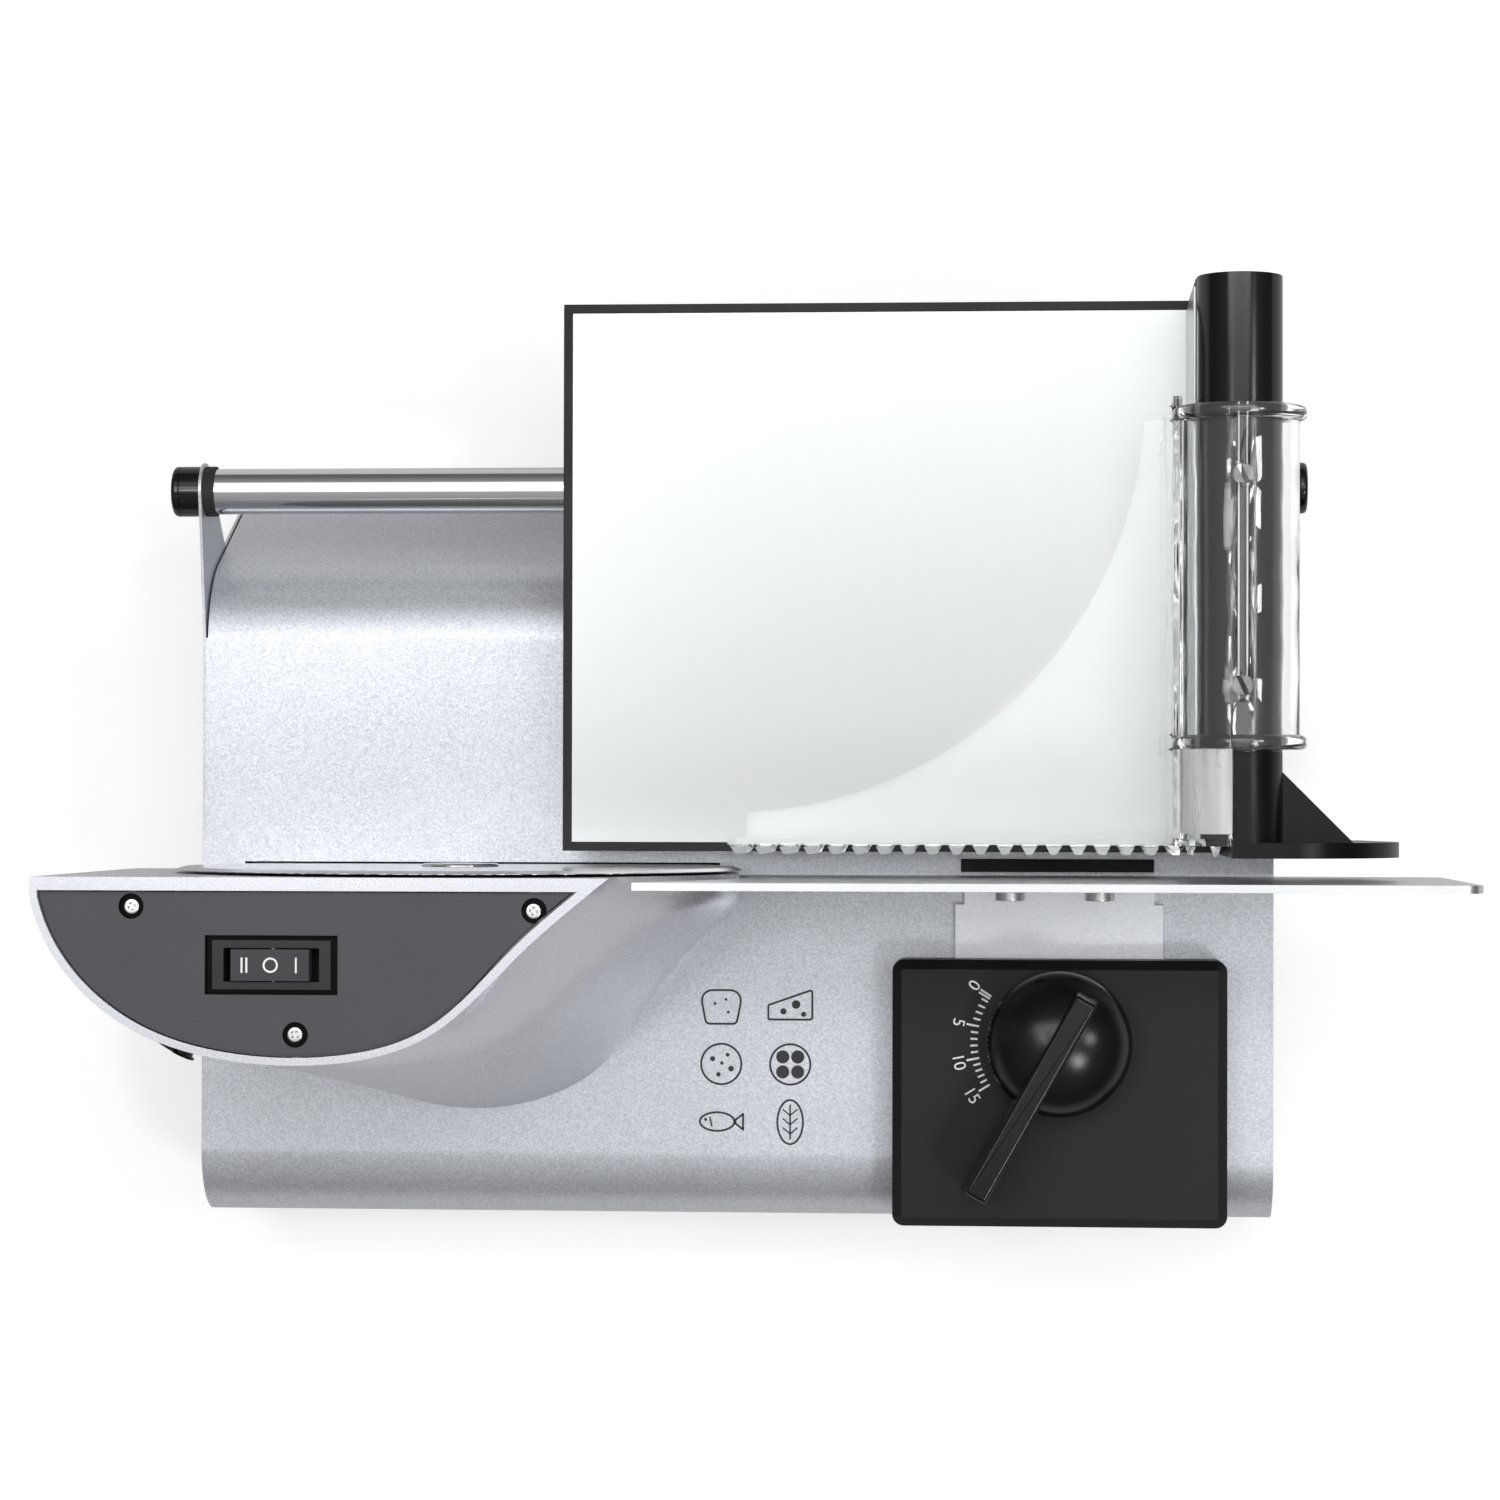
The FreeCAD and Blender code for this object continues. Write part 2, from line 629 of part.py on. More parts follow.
def inset_wire(outer, z, left, face, inset):
    """Closed outline inside a row of points, between a left edge and a flat side."""
    points = [(left, outer[0][1])]
    for before, point, after in zip(outer, outer[1:], outer[2:]):
        normal = outward(before, after)
        points.append((point[0] - normal[0] * inset, point[1] - normal[1] * inset))
    normal = outward(outer[-2], outer[-1])
    start = (outer[-1][0] - normal[0] * inset, outer[-1][1] - normal[1] * inset)
    lean = (outer[-1][0] - outer[-2][0]) / (outer[-1][1] - outer[-2][1])
    points.append((start[0] + (face - start[1]) * lean, face))
    vectors = [Vec(x, y, z) for x, y in points]
    corner = Vec(left, face, z)
    curve = Part.BSplineCurve()
    curve.interpolate(vectors)
    return Part.Wire([line(vectors[-1], corner), line(corner, vectors[0]), curve.toShape()])


def housing_wire(z, wall, face_wall):
    """Housing's outline at a height, drawn in by a wall and a flat-side thickness."""
    return inset_wire(housing_points(z), z, HOUSING_LEFT + wall, HOUSING_FACE - face_wall, wall)


def housing_loft(wall, face_wall, bottom, top):
    steps = SECTION_COUNT - 1
    levels = [bottom + (top - bottom) * index / steps for index in range(SECTION_COUNT)]
    return Part.makeLoft([housing_wire(z, wall, face_wall) for z in levels], True, False)


HOUSING_OUTER = housing_loft(0, 0, BASE_TOP, HOUSING_TOP)
HOUSING_CAVITY = housing_loft(HOUSING_WALL, FACE_WALL, BASE_TOP - 1, HOUSING_TOP + 1)


def housing_screw_places():
    return [(-70.0, -18.0), (25.0, -62.0), (40.0, -18.0)]


def gland_frame():
    """Axis point on the wall and outward direction of the mains inlet."""
    z = BASE_TOP + GLAND_RISE
    points = housing_points(z)
    normal = outward(points[1], points[3])
    return Vec(points[2][0], points[2][1], z), Vec(normal[0], normal[1], 0)


def gland_cylinder(radius, start, length):
    centre, out = gland_frame()
    return Part.makeCylinder(radius, length, centre + out * start, out)


def panel_boss(x, y):
    """Screw boss under the panel with a web to the nearest wall."""
    low = PANEL_BOTTOM - PANEL_BOSS_LENGTH
    post = cyl_z(PANEL_BOSS_RADIUS, x, y, low, PANEL_BOTTOM)
    reach = (y, HOUSING_FACE - 1) if y > -30 else (y - 20, y)
    web = box((x - 1.5, x + 1.5), reach, (low, PANEL_BOTTOM)).common(HOUSING_OUTER)
    bore = cyl_z(SCREW_SHANK_RADIUS, x, y, low + 2, PANEL_BOTTOM + 1)
    return fused(post, web), bore


def housing_boss(x, y):
    """Post at the housing's foot for a screw from below, with a web to the wall."""
    post = cyl_z(PANEL_BOSS_RADIUS, x, y, BASE_TOP, BASE_TOP + 14)
    reach = (y, HOUSING_FACE - 1) if y > -30 else (y - 24, y)
    web = box((x - 1.5, x + 1.5), reach, (BASE_TOP, BASE_TOP + 14)).common(HOUSING_OUTER)
    bore = cyl_z(SCREW_SHANK_RADIUS, x, y, BASE_TOP - 1, BASE_TOP + 11)
    return fused(post, web), bore


def motor_housing():
    shell = cut(HOUSING_OUTER, HOUSING_CAVITY)
    adds = [cyl_y(HUB_RADIUS + RUN_GAP + BUSH_WALL + BOSS_WALL, 0, BLADE_Z,
                  HOUSING_FACE - BOSS_LENGTH, HOUSING_INNER)]
    bores = [cyl_y(HUB_RADIUS + RUN_GAP + BUSH_WALL, 0, BLADE_Z,
                   HOUSING_FACE - BOSS_LENGTH - 1, HOUSING_FACE + 1),
             cyl_y(HUB_FLANGE_RADIUS + SLIDE_GAP, 0, BLADE_Z,
                   HOUSING_FACE - HUB_FLANGE_THICK - SLIDE_GAP, HOUSING_FACE + 1),
             gland_cylinder(GLAND_RADIUS, -12, 24)]
    for x, y in PANEL_SCREWS:
        post, bore = panel_boss(x, y)
        adds.append(post)
        bores.append(bore)
    for x, y in housing_screw_places():
        post, bore = housing_boss(x, y)
        adds.append(post)
        bores.append(bore)
    for x, z in bracket_screw_places():
        bores.append(cyl_y(SCREW_SHANK_RADIUS, x, z, HOUSING_INNER - 1, HOUSING_INNER + 2.5))
    return [cut(shell.fuse(adds), *bores)]


def casing_screws():
    """Screws that come up through the base into the motor housing and the knob box."""
    screws = []
    for x, y in housing_screw_places() + box_post_places():
        head = cyl_z(3.4, x, y, UNDER_SHEET - 2, UNDER_SHEET)
        shank = cyl_z(SCREW_SHANK_RADIUS, x, y, UNDER_SHEET, BASE_TOP + 10)
        screws.append(fused(head, shank))
    return screws


def housing_floor():
    """Cover that closes the part of the housing beyond the base."""
    top = BASE_TOP
    wire = housing_wire(top, HOUSING_WALL / 2, HOUSING_WALL / 2)
    plate = Part.Face(wire).extrude(Vec(0, 0, -3))
    keep = box((HOUSING_LEFT - 10, BASE_LEFT - 0.1), (-200, 50), (top - 10, top + 10))
    return [plate.common(keep)]


def switch_panel():
    mouth = HOUSING_CAVITY.slice(Vec(0, 0, 1), PANEL_TOP)[0]
    curve = max(mouth.Edges, key=lambda edge: edge.Length)
    rim = sorted(((point.x, point.y) for point in curve.discretize(PANEL_POINTS)))
    wire = inset_wire(rim, PANEL_TOP, HOUSING_LEFT + HOUSING_WALL + FIT_GAP,
                      HOUSING_INNER - FIT_GAP, FIT_GAP)
    plate = Part.Face(wire).extrude(Vec(0, 0, -PANEL_THICK)).common(HOUSING_CAVITY)
    tools = []
    for x, y in PANEL_SCREWS:
        tools.append(cyl_z(SCREW_WELL_RADIUS, x, y, PANEL_TOP - SCREW_WELL_DEPTH, PANEL_TOP + 1))
        tools.append(cyl_z(SCREW_SHANK_RADIUS, x, y, PANEL_BOTTOM - 1, PANEL_TOP))
    x, y = SWITCH_CENTRE
    tools.append(centred_box(x, y, SWITCH_WELL[0], SWITCH_WELL[1],
                             PANEL_TOP - SWITCH_WELL[2], PANEL_TOP + 1))
    tools.append(centred_box(x, y, SWITCH_BODY[0], SWITCH_BODY[1],
                             PANEL_BOTTOM - 1, PANEL_TOP))
    return [cut(plate, *tools)]


def centred_box(x, y, length, width, z0, z1):
    return box((x - length / 2, x + length / 2), (y - width / 2, y + width / 2), (z0, z1))


def panel_screws():
    seat = PANEL_TOP - SCREW_WELL_DEPTH
    tip = PANEL_BOTTOM - PANEL_BOSS_LENGTH + 4
    return [screw_z(SCREW_HEAD_RADIUS, 1.8, SCREW_SHANK_RADIUS, x, y, seat + 1.8, tip)
            for x, y in PANEL_SCREWS]


def rocker_pivot():
    return (SWITCH_CENTRE[0], PANEL_TOP - 1.0)


def switch_body():
    x, y = SWITCH_CENTRE
    seat = PANEL_TOP - SWITCH_WELL[2]
    bezel = centred_box(x, y, SWITCH_BEZEL[0], SWITCH_BEZEL[1], seat, seat + SWITCH_BEZEL[2])
    body = centred_box(x, y, SWITCH_BODY[0], SWITCH_BODY[1], seat - SWITCH_BODY[2], seat)
    opening = centred_box(x, y, SWITCH_OPENING[0], SWITCH_OPENING[1],
                          seat - ROCKER_DEPTH - 3, seat + 3)
    blades = [box((x + step - 0.4, x + step + 0.4), (y - 3, y + 3),
                  (seat - SWITCH_BODY[2] - 7, seat - SWITCH_BODY[2])) for step in (-9, 0, 9)]
    return [cut(fused(bezel, body, *blades), opening)]


def switch_pivots():
    """Pin that carries the rocker across the switch's opening."""
    x, z = rocker_pivot()
    y = SWITCH_CENTRE[1]
    z -= 2.5
    half = SWITCH_OPENING[1] / 2
    return [cyl_y(1.2, x, z, y - half, y + half)]


def switch_rocker():
    x, z = rocker_pivot()
    y = SWITCH_CENTRE[1]
    half = ROCKER_SIZE[0] / 2
    face_z = z - 2.5
    rise = ROCKER_RISE + 2.5
    outline = [(x - half, face_z + rise), (x, face_z + rise - ROCKER_DIP), (x + half, face_z + rise),
               (x + half, face_z + 1), (x + half * 0.5, face_z - 5), (x - half * 0.5, face_z - 5),
               (x - half, face_z + 1)]
    body = prism_y(outline, y - ROCKER_SIZE[1] / 2, y + ROCKER_SIZE[1] / 2)
    return [cut(body, cyl_y(1.2 + RUN_GAP, x, face_z, y - 10, y + 10))]


def cable_gland():
    flange = gland_cylinder(GLAND_FLANGE[0], -2, GLAND_FLANGE[1] + 2)
    flange = cut(flange, HOUSING_OUTER)
    flange = max(flange.Solids, key=lambda solid: solid.Volume)
    barrel = gland_cylinder(GLAND_RADIUS, -8, GLAND_REACH + 8)
    tip = gland_cylinder(GLAND_RADIUS + 1, GLAND_REACH - 4, 4)
    bore = gland_cylinder(CORD_RADIUS, -9, GLAND_REACH + 18)
    return [cut(fused(flange, barrel, tip), bore)]


def gland_nut():
    nut = gland_cylinder(GLAND_NUT[0], -HOUSING_WALL - GLAND_NUT[1], GLAND_NUT[1] + 2)
    nut = nut.common(HOUSING_CAVITY)
    return [cut(nut, gland_cylinder(GLAND_RADIUS, -20, 25))]


# Blade and drive

def at_blade(radius, y):
    return Vec(radius, y, BLADE_Z)


def blade():
    hole = HUB_RADIUS + 0.1
    outline = [at_blade(hole, BLADE_BACK), at_blade(BLADE_RADIUS - BLADE_BEVEL, BLADE_BACK),
               at_blade(BLADE_RADIUS, -0.1), at_blade(BLADE_RADIUS, 0.1),
               at_blade(BLADE_RADIUS - BLADE_BEVEL / 3, BLADE_FACE), at_blade(hole, BLADE_FACE)]
    return [spun(outline, at_blade(0, 0) - Vec(0, 0, 0), Vec(0, 1, 0))]


def worm_wheel():
    tip = WHEEL_PITCH_RADIUS + 0.8 * GEAR_MODULE
    root = WHEEL_PITCH_RADIUS - 1.25 * GEAR_MODULE
    half = WHEEL_WIDTH / 2
    pitch = 2 * math.pi / WHEEL_TEETH
    outline = []
    for tooth in range(WHEEL_TEETH):
        middle = math.pi + (tooth + 0.5) * pitch
        for radius, width in ((root, -1.3), (tip, -0.7), (tip, 0.7), (root, 1.3)):
            turn = middle + width / radius
            outline.append((radius * math.cos(turn), BLADE_Z + radius * math.sin(turn)))
    gear = prism_y(outline, WHEEL_PLANE - half, WHEEL_PLANE + half)
    holes = []
    for index in range(6):
        turn = math.radians(60 * index)
        holes.append(cyl_y(4, 17.5 * math.cos(turn), BLADE_Z + 17.5 * math.sin(turn),
                           WHEEL_PLANE - half - 1, WHEEL_PLANE + half + 1))
    hub_end = WHEEL_PLANE - half - 6
    shaft = cyl_y(HUB_RADIUS, 0, BLADE_Z, hub_end, BLADE_FACE - 0.1)
    flange = cyl_y(HUB_FLANGE_RADIUS, 0, BLADE_Z, HOUSING_FACE - HUB_FLANGE_THICK, BLADE_BACK)
    bore = cyl_y(LOCK_SHANK_RADIUS, 0, BLADE_Z, HOUSING_FACE - 20, BLADE_FACE + 1)
    return [cut(fused(gear, shaft, flange), bore, *holes)]


def blade_lock_screw():
    head = cyl_y(LOCK_HEAD_RADIUS, 0, BLADE_Z, BLADE_FACE, BLADE_FACE + LOCK_HEAD_THICK)
    edges = [edge for edge in head.Edges if abs(edge.CenterOfMass.y - head.BoundBox.YMax) < 0.01]
    head = head.makeChamfer(LOCK_HEAD_THICK * 0.6, edges)
    shank = cyl_y(LOCK_SHANK_RADIUS, 0, BLADE_Z, HOUSING_FACE - 17, BLADE_FACE)
    slot = box((-LOCK_HEAD_RADIUS * 0.8, LOCK_HEAD_RADIUS * 0.8),
               (BLADE_FACE + LOCK_HEAD_THICK * 0.3, BLADE_FACE + LOCK_HEAD_THICK + 1),
               (BLADE_Z - 1, BLADE_Z + 1))
    return [cut(fused(head, shank), slot)]


def blade_bearing():
    return [ring_y(HUB_RADIUS + RUN_GAP + BUSH_WALL, HUB_RADIUS + RUN_GAP, 0, BLADE_Z,
                   HOUSING_FACE - BOSS_LENGTH, HOUSING_FACE - HUB_FLANGE_THICK - SLIDE_GAP)]


def worm():
    """Right-hand single-start worm; its thread sits in a gap of the wheel at the axis level."""
    tip = WORM_PITCH_RADIUS + 0.9 * GEAR_MODULE
    root = WORM_PITCH_RADIUS - 1.2 * GEAR_MODULE
    length = WORM_TURNS * WORM_PITCH
    start = BLADE_Z - length / 2
    core = cyl_z(root, MOTOR_X, MOTOR_Y, start - 4, start + length + 4)
    helix = Part.makeHelix(WORM_PITCH, length, root)
    sunk = root - 0.5
    profile = Part.makePolygon([Vec(sunk, 0, -1.35), Vec(tip, 0, -0.6), Vec(tip, 0, 0.6),
                                Vec(sunk, 0, 1.35), Vec(sunk, 0, -1.35)])
    thread = Part.Wire(helix).makePipeShell([profile], True, True)
    thread.translate(Vec(MOTOR_X, MOTOR_Y, start))
    bore = cyl_z(WORM_SHAFT_RADIUS, MOTOR_X, MOTOR_Y, start - 5, start + length + 5)
    return [cut(core.fuse(thread), bore)]


def shaft_step():
    """Height where the motor shaft narrows, just above the motor."""
    return MOTOR_TOP + 7


def bracket_arm_bottom():
    return BLADE_Z + WORM_TURNS * WORM_PITCH / 2 + 10


def motor_shaft():
    lower = cyl_z(SHAFT_RADIUS, MOTOR_X, MOTOR_Y, MOTOR_BOTTOM - 8, shaft_step())
    upper = cyl_z(WORM_SHAFT_RADIUS, MOTOR_X, MOTOR_Y, shaft_step(), bracket_arm_bottom() + 6)
    return [fused(lower, upper)]


def stack_bottom():
    return (MOTOR_BOTTOM + MOTOR_TOP) / 2 - STACK_LENGTH / 2 - 2


def rotor_core():
    z0 = stack_bottom()
    z1 = z0 + STACK_LENGTH
    core = ring_z(ROTOR_RADIUS, SHAFT_RADIUS, MOTOR_X, MOTOR_Y, z0, z1)
    slots = []
    for index in range(ROTOR_SLOTS):
        turn = 2 * math.pi * index / ROTOR_SLOTS
        reach = ROTOR_RADIUS - 1.5
        slots.append(cyl_z(2.2, MOTOR_X + reach * math.cos(turn), MOTOR_Y + reach * math.sin(turn),
                           z0 - 1, z1 + 1))
    return [cut(core, *slots)]


def commutator():
    z1 = stack_bottom() - 1
    return [ring_z(9, SHAFT_RADIUS, MOTOR_X, MOTOR_Y, z1 - 9, z1)]


def cooling_fan():
    z0 = stack_bottom() + STACK_LENGTH + 2
    disc = ring_z(MOTOR_RADIUS - 5, SHAFT_RADIUS, MOTOR_X, MOTOR_Y, z0, z0 + 1.5)
    vanes = []
    for index in range(FAN_BLADES):
        vane = box((MOTOR_X + 9, MOTOR_X + MOTOR_RADIUS - 6), (MOTOR_Y - 0.6, MOTOR_Y + 0.6),
                   (z0 + 1, z0 + 7))
        vane.rotate(Vec(MOTOR_X, MOTOR_Y, 0), Vec(0, 0, 1), 360 * index / FAN_BLADES)
        vanes.append(vane)
    return [disc.fuse(vanes)]


def stator_core():
    z0 = stack_bottom() - 1
    return [ring_z(MOTOR_RADIUS - MOTOR_WALL, ROTOR_RADIUS + AIR_GAP, MOTOR_X, MOTOR_Y,
                   z0, z0 + STACK_LENGTH + 2)]


def carbon_brushes():
    z1 = stack_bottom() - 2.5
    return [box(sorted((MOTOR_X + side * (9 + SLIDE_GAP),
                        MOTOR_X + side * (MOTOR_RADIUS - MOTOR_WALL - 0.5))),
                (MOTOR_Y - 3, MOTOR_Y + 3), (z1 - 6, z1)) for side in (-1, 1)]


def motor_can():
    can = cyl_z(MOTOR_RADIUS, MOTOR_X, MOTOR_Y, MOTOR_BOTTOM, MOTOR_TOP)
    inside = cyl_z(MOTOR_RADIUS - MOTOR_WALL, MOTOR_X, MOTOR_Y, MOTOR_BOTTOM - 1, MOTOR_TOP - 2)
    boss = cyl_z(8, MOTOR_X, MOTOR_Y, MOTOR_TOP, MOTOR_TOP + 6)
    bore = cyl_z(SHAFT_RADIUS + RUN_GAP, MOTOR_X, MOTOR_Y, MOTOR_TOP - 3, MOTOR_TOP + 7)
    holes = [cyl_z(SCREW_SHANK_RADIUS, x, y, MOTOR_TOP - 3, MOTOR_TOP + 1)
             for x, y in motor_screw_places()]
    return [cut(fused(cut(can, inside), boss), bore, *holes)]


def motor_end_cap():
    plate = cyl_z(MOTOR_RADIUS, MOTOR_X, MOTOR_Y, MOTOR_BOTTOM - 2, MOTOR_BOTTOM)
    boss = cyl_z(8, MOTOR_X, MOTOR_Y, MOTOR_BOTTOM - 10, MOTOR_BOTTOM)
    bore = cyl_z(SHAFT_RADIUS + RUN_GAP, MOTOR_X, MOTOR_Y, MOTOR_BOTTOM - 9, MOTOR_BOTTOM + 1)
    holders = [box(sorted((MOTOR_X + side * 14, MOTOR_X + side * 24)), (MOTOR_Y - 5, MOTOR_Y + 5),
                   (MOTOR_BOTTOM, stack_bottom() - 8.5)) for side in (-1, 1)]
    return [cut(fused(plate, boss, *holders), bore)]


def motor_screw_places():
    return [(MOTOR_X + side * 18, MOTOR_Y) for side in (-1, 1)]


def bracket_screw_places():
    return [(MOTOR_X - 20, MOTOR_TOP + 16), (MOTOR_X - 20, MOTOR_TOP + 48),
            (MOTOR_X + 11, MOTOR_TOP + 16)]


def motor_bracket():
    back = HOUSING_INNER
    arm = bracket_arm_bottom()
    upright = box((MOTOR_X - 26, MOTOR_X + 16), (back - BRACKET_THICK, back), (MOTOR_TOP, arm + 6))
    shelf = box((MOTOR_X - 26, MOTOR_X + 25), (MOTOR_Y - 24, back), (MOTOR_TOP, MOTOR_TOP + 3))
    top = box((MOTOR_X - 12, MOTOR_X + 12), (MOTOR_Y - 12, back), (arm, arm + 6))
    tools = [cyl_z(8, MOTOR_X, MOTOR_Y, MOTOR_TOP - 1, MOTOR_TOP + 8),
             cyl_z(WORM_SHAFT_RADIUS + RUN_GAP + 2, MOTOR_X, MOTOR_Y, arm - 1, arm + 7)]
    tools += [cyl_z(SCREW_SHANK_RADIUS, x, y, MOTOR_TOP - 1, MOTOR_TOP + 4)
              for x, y in motor_screw_places()]
    tools += [cyl_y(SCREW_SHANK_RADIUS, x, z, back - BRACKET_THICK - 1, back + 1)
              for x, z in bracket_screw_places()]
    return [cut(fused(upright, shelf, top), *tools)]


def shaft_bush():
    arm = bracket_arm_bottom()
    return [ring_z(WORM_SHAFT_RADIUS + RUN_GAP + 2, WORM_SHAFT_RADIUS + RUN_GAP,
                   MOTOR_X, MOTOR_Y, arm, arm + 6)]


def motor_screws():
    top = MOTOR_TOP + 3
    screws = [fused(cyl_z(3, x, y, top, top + 2),
                    cyl_z(SCREW_SHANK_RADIUS, x, y, MOTOR_TOP - 2, top))
              for x, y in motor_screw_places()]
    back = HOUSING_INNER - BRACKET_THICK
    screws += [fused(cyl_y(3, x, z, back - 2, back),
                     cyl_y(SCREW_SHANK_RADIUS, x, z, back, HOUSING_INNER + 2.5))
               for x, z in bracket_screw_places()]
    return screws


def speed_board():
    """Circuit board of the two-speed control, on two standoffs on the flat wall."""
    x0, x1 = HOUSING_LEFT + 12, MOTOR_X - 34
    z0, z1 = BLADE_Z + 14, BLADE_Z + 60
    back = HOUSING_INNER
    board = box((x0, x1), (back - 5.6, back - 4), (z0, z1))
    posts = [cyl_y(2.5, (x0 + x1) / 2, z, back - 4, back) for z in (z0 + 6, z1 - 6)]
    capacitor = cyl_y(6, x0 + 12, z0 + 14, back - 21, back - 5.6)
    coil = box((x0 + 22, x1 - 4), (back - 16, back - 5.6), (z0 + 8, z0 + 20))
    sink = box((x0 + 6, x1 - 6), (back - 14, back - 5.6), (z1 - 16, z1 - 12))
    return [fused(board, capacitor, coil, sink, *posts)]


# Stop plate, carrier, cam and knob

def stop_plate():
    y0, y1 = PLATE_BACK, PLATE_FRONT
    radius = PLATE_RADIUS
    low = BLADE_Z - PLATE_BOTTOM
    low_x = math.sqrt(radius ** 2 - low ** 2)
    high_z = BLADE_Z + math.sqrt(radius ** 2 - PLATE_LEFT ** 2)
    r = PLATE_CORNER
    half = r * (1 - math.sin(math.radians(45)))

    def at(x, z):
        return Vec(x, y0, z)
    edges = [line(at(low_x, PLATE_BOTTOM), at(PLATE_RIGHT - r, PLATE_BOTTOM)),
             arc(at(PLATE_RIGHT - r, PLATE_BOTTOM), at(PLATE_RIGHT - half, PLATE_BOTTOM + half),
                 at(PLATE_RIGHT, PLATE_BOTTOM + r)),
             line(at(PLATE_RIGHT, PLATE_BOTTOM + r), at(PLATE_RIGHT, PLATE_TOP - r)),
             arc(at(PLATE_RIGHT, PLATE_TOP - r), at(PLATE_RIGHT - half, PLATE_TOP - half),
                 at(PLATE_RIGHT - r, PLATE_TOP)),
             line(at(PLATE_RIGHT - r, PLATE_TOP), at(PLATE_LEFT, PLATE_TOP)),
             line(at(PLATE_LEFT, PLATE_TOP), at(PLATE_LEFT, high_z)),
             arc(at(PLATE_LEFT, high_z), at(radius, BLADE_Z), at(low_x, PLATE_BOTTOM))]
    plate = face_of(edges).extrude(Vec(0, y1 - y0, 0))
    holes = [cyl_y(BOLT_RADIUS, x, BASE_TOP + BOLT_RISE, y0 - 1, y0 + PLATE_THICK - 0.8)
             for x in bolt_places()]
    return [cut(plate, *holes)]


def bolt_places():
    return [KNOB_X - 1.6 - BOLT_SPACING / 2, KNOB_X - 1.6 + BOLT_SPACING / 2]


def plate_carrier():
    floor = box((CARRIER_LEFT, CARRIER_RIGHT), (CARRIER_END, PLATE_BACK),
                (CARRIER_BOTTOM, CARRIER_TOP))
    flange = box((CARRIER_LEFT, CARRIER_RIGHT), (PLATE_BACK - CARRIER_THICK, PLATE_BACK),
                 (CARRIER_BOTTOM, BASE_TOP + CARRIER_FLANGE))
    through = (CARRIER_BOTTOM - 1, CARRIER_TOP + 1)
    tools = [slot_y(GUIDE_RADIUS + SLIDE_GAP, x, y, PLATE_TRAVEL, through)
             for x, y in guide_places()]
    tools.append(slot_y(SPINDLE_RADIUS + SLIDE_GAP, KNOB_X, KNOB_Y, PLATE_TRAVEL, through))
    tools.append(cyl_z(PIN_RADIUS, KNOB_X, KNOB_Y - CAM_START, *through))
    tools += [cyl_y(BOLT_RADIUS, x, BASE_TOP + BOLT_RISE, PLATE_BACK - 5, PLATE_BACK + 1)
              for x in bolt_places()]
    notch = (PLATE_BACK - CARRIER_THICK - 5, PLATE_BACK + 1)
    tools.append(box((CARRIER_LEFT - 1, CARRIER_LEFT + 3), notch, (CARRIER_BOTTOM - 1, BASE_TOP + 8)))
    tools.append(box((CARRIER_RIGHT - 3, CARRIER_RIGHT + 1), notch, (CARRIER_BOTTOM - 1, BASE_TOP + 8)))
    return [cut(fused(floor, flange), *tools)]


def slot_y(radius, x, y, length, z):
    """Round-ended slot from y towards +Y."""
    return fused(cyl_z(radius, x, y, *z), cyl_z(radius, x, y + length, *z),
                 box((x - radius, x + radius), (y, y + length), z))


def plate_bolts():
    z = BASE_TOP + BOLT_RISE
    head_y = PLATE_BACK - CARRIER_THICK
    bolts = []
    for x in bolt_places():
        head = cyl_y(BOLT_HEAD[0], x, z, head_y - BOLT_HEAD[1], head_y)
        shank = cyl_y(BOLT_RADIUS, x, z, head_y, PLATE_FRONT - 0.8)
        hexagon = cyl_y(2.0, x, z, head_y - BOLT_HEAD[1] - 1, head_y - 1.6)
        bolts.append(cut(fused(head, shank), hexagon))
    return bolts


def plate_buffer():
    x = KNOB_X - 0.7
    return [box((x - BUFFER_SIZE[0] / 2, x + BUFFER_SIZE[0] / 2),
                (-1.2, -1.2 + BUFFER_SIZE[1]), (BASE_TOP, BASE_TOP + BUFFER_SIZE[2]))]


def guide_screws():
    screws = []
    seat = CARRIER_TOP + SLIDE_GAP
    for x, y in guide_places():
        head = cyl_z(GUIDE_HEAD[0], x, y, seat, seat + GUIDE_HEAD[1])
        shank = cyl_z(GUIDE_RADIUS, x, y, UNDER_SHEET - 4, seat)
        nut = ring_z(5.5, GUIDE_RADIUS, x, y, UNDER_SHEET - 3, UNDER_SHEET)
        screws.append(fused(head, shank, nut))
    return screws


def follower_pin():
    return [cyl_z(PIN_RADIUS, KNOB_X, KNOB_Y - CAM_START, CARRIER_BOTTOM, CAM_TOP + 1)]


def cam_point(degrees, offset):
    """Point at a distance square from the cam slot's middle line, at a knob angle, in the rest pose."""
    radius = CAM_START + CAM_RATE * math.radians(degrees)
    turn = math.radians(-90 - degrees)
    out = offset * radius / math.hypot(radius, CAM_RATE)
    side = offset * CAM_RATE / math.hypot(radius, CAM_RATE)
    return (KNOB_X + (radius + out) * math.cos(turn) - side * math.sin(turn),
            KNOB_Y + (radius + out) * math.sin(turn) + side * math.cos(turn))


def cam_band(half, z0, z1):
    """Band of a given half width along the slot's middle line, with round ends."""
    steps = [KNOB_SWING * index / CAM_STEPS for index in range(CAM_STEPS + 1)]
    near = [cam_point(step, -half) for step in steps]
    far = [cam_point(step, half) for step in reversed(steps)]
    ends = [cyl_z(half, *cam_point(step, 0), z0, z1) for step in (0, KNOB_SWING)]
    return fused(prism_z(near + far, z0, z1), *ends)


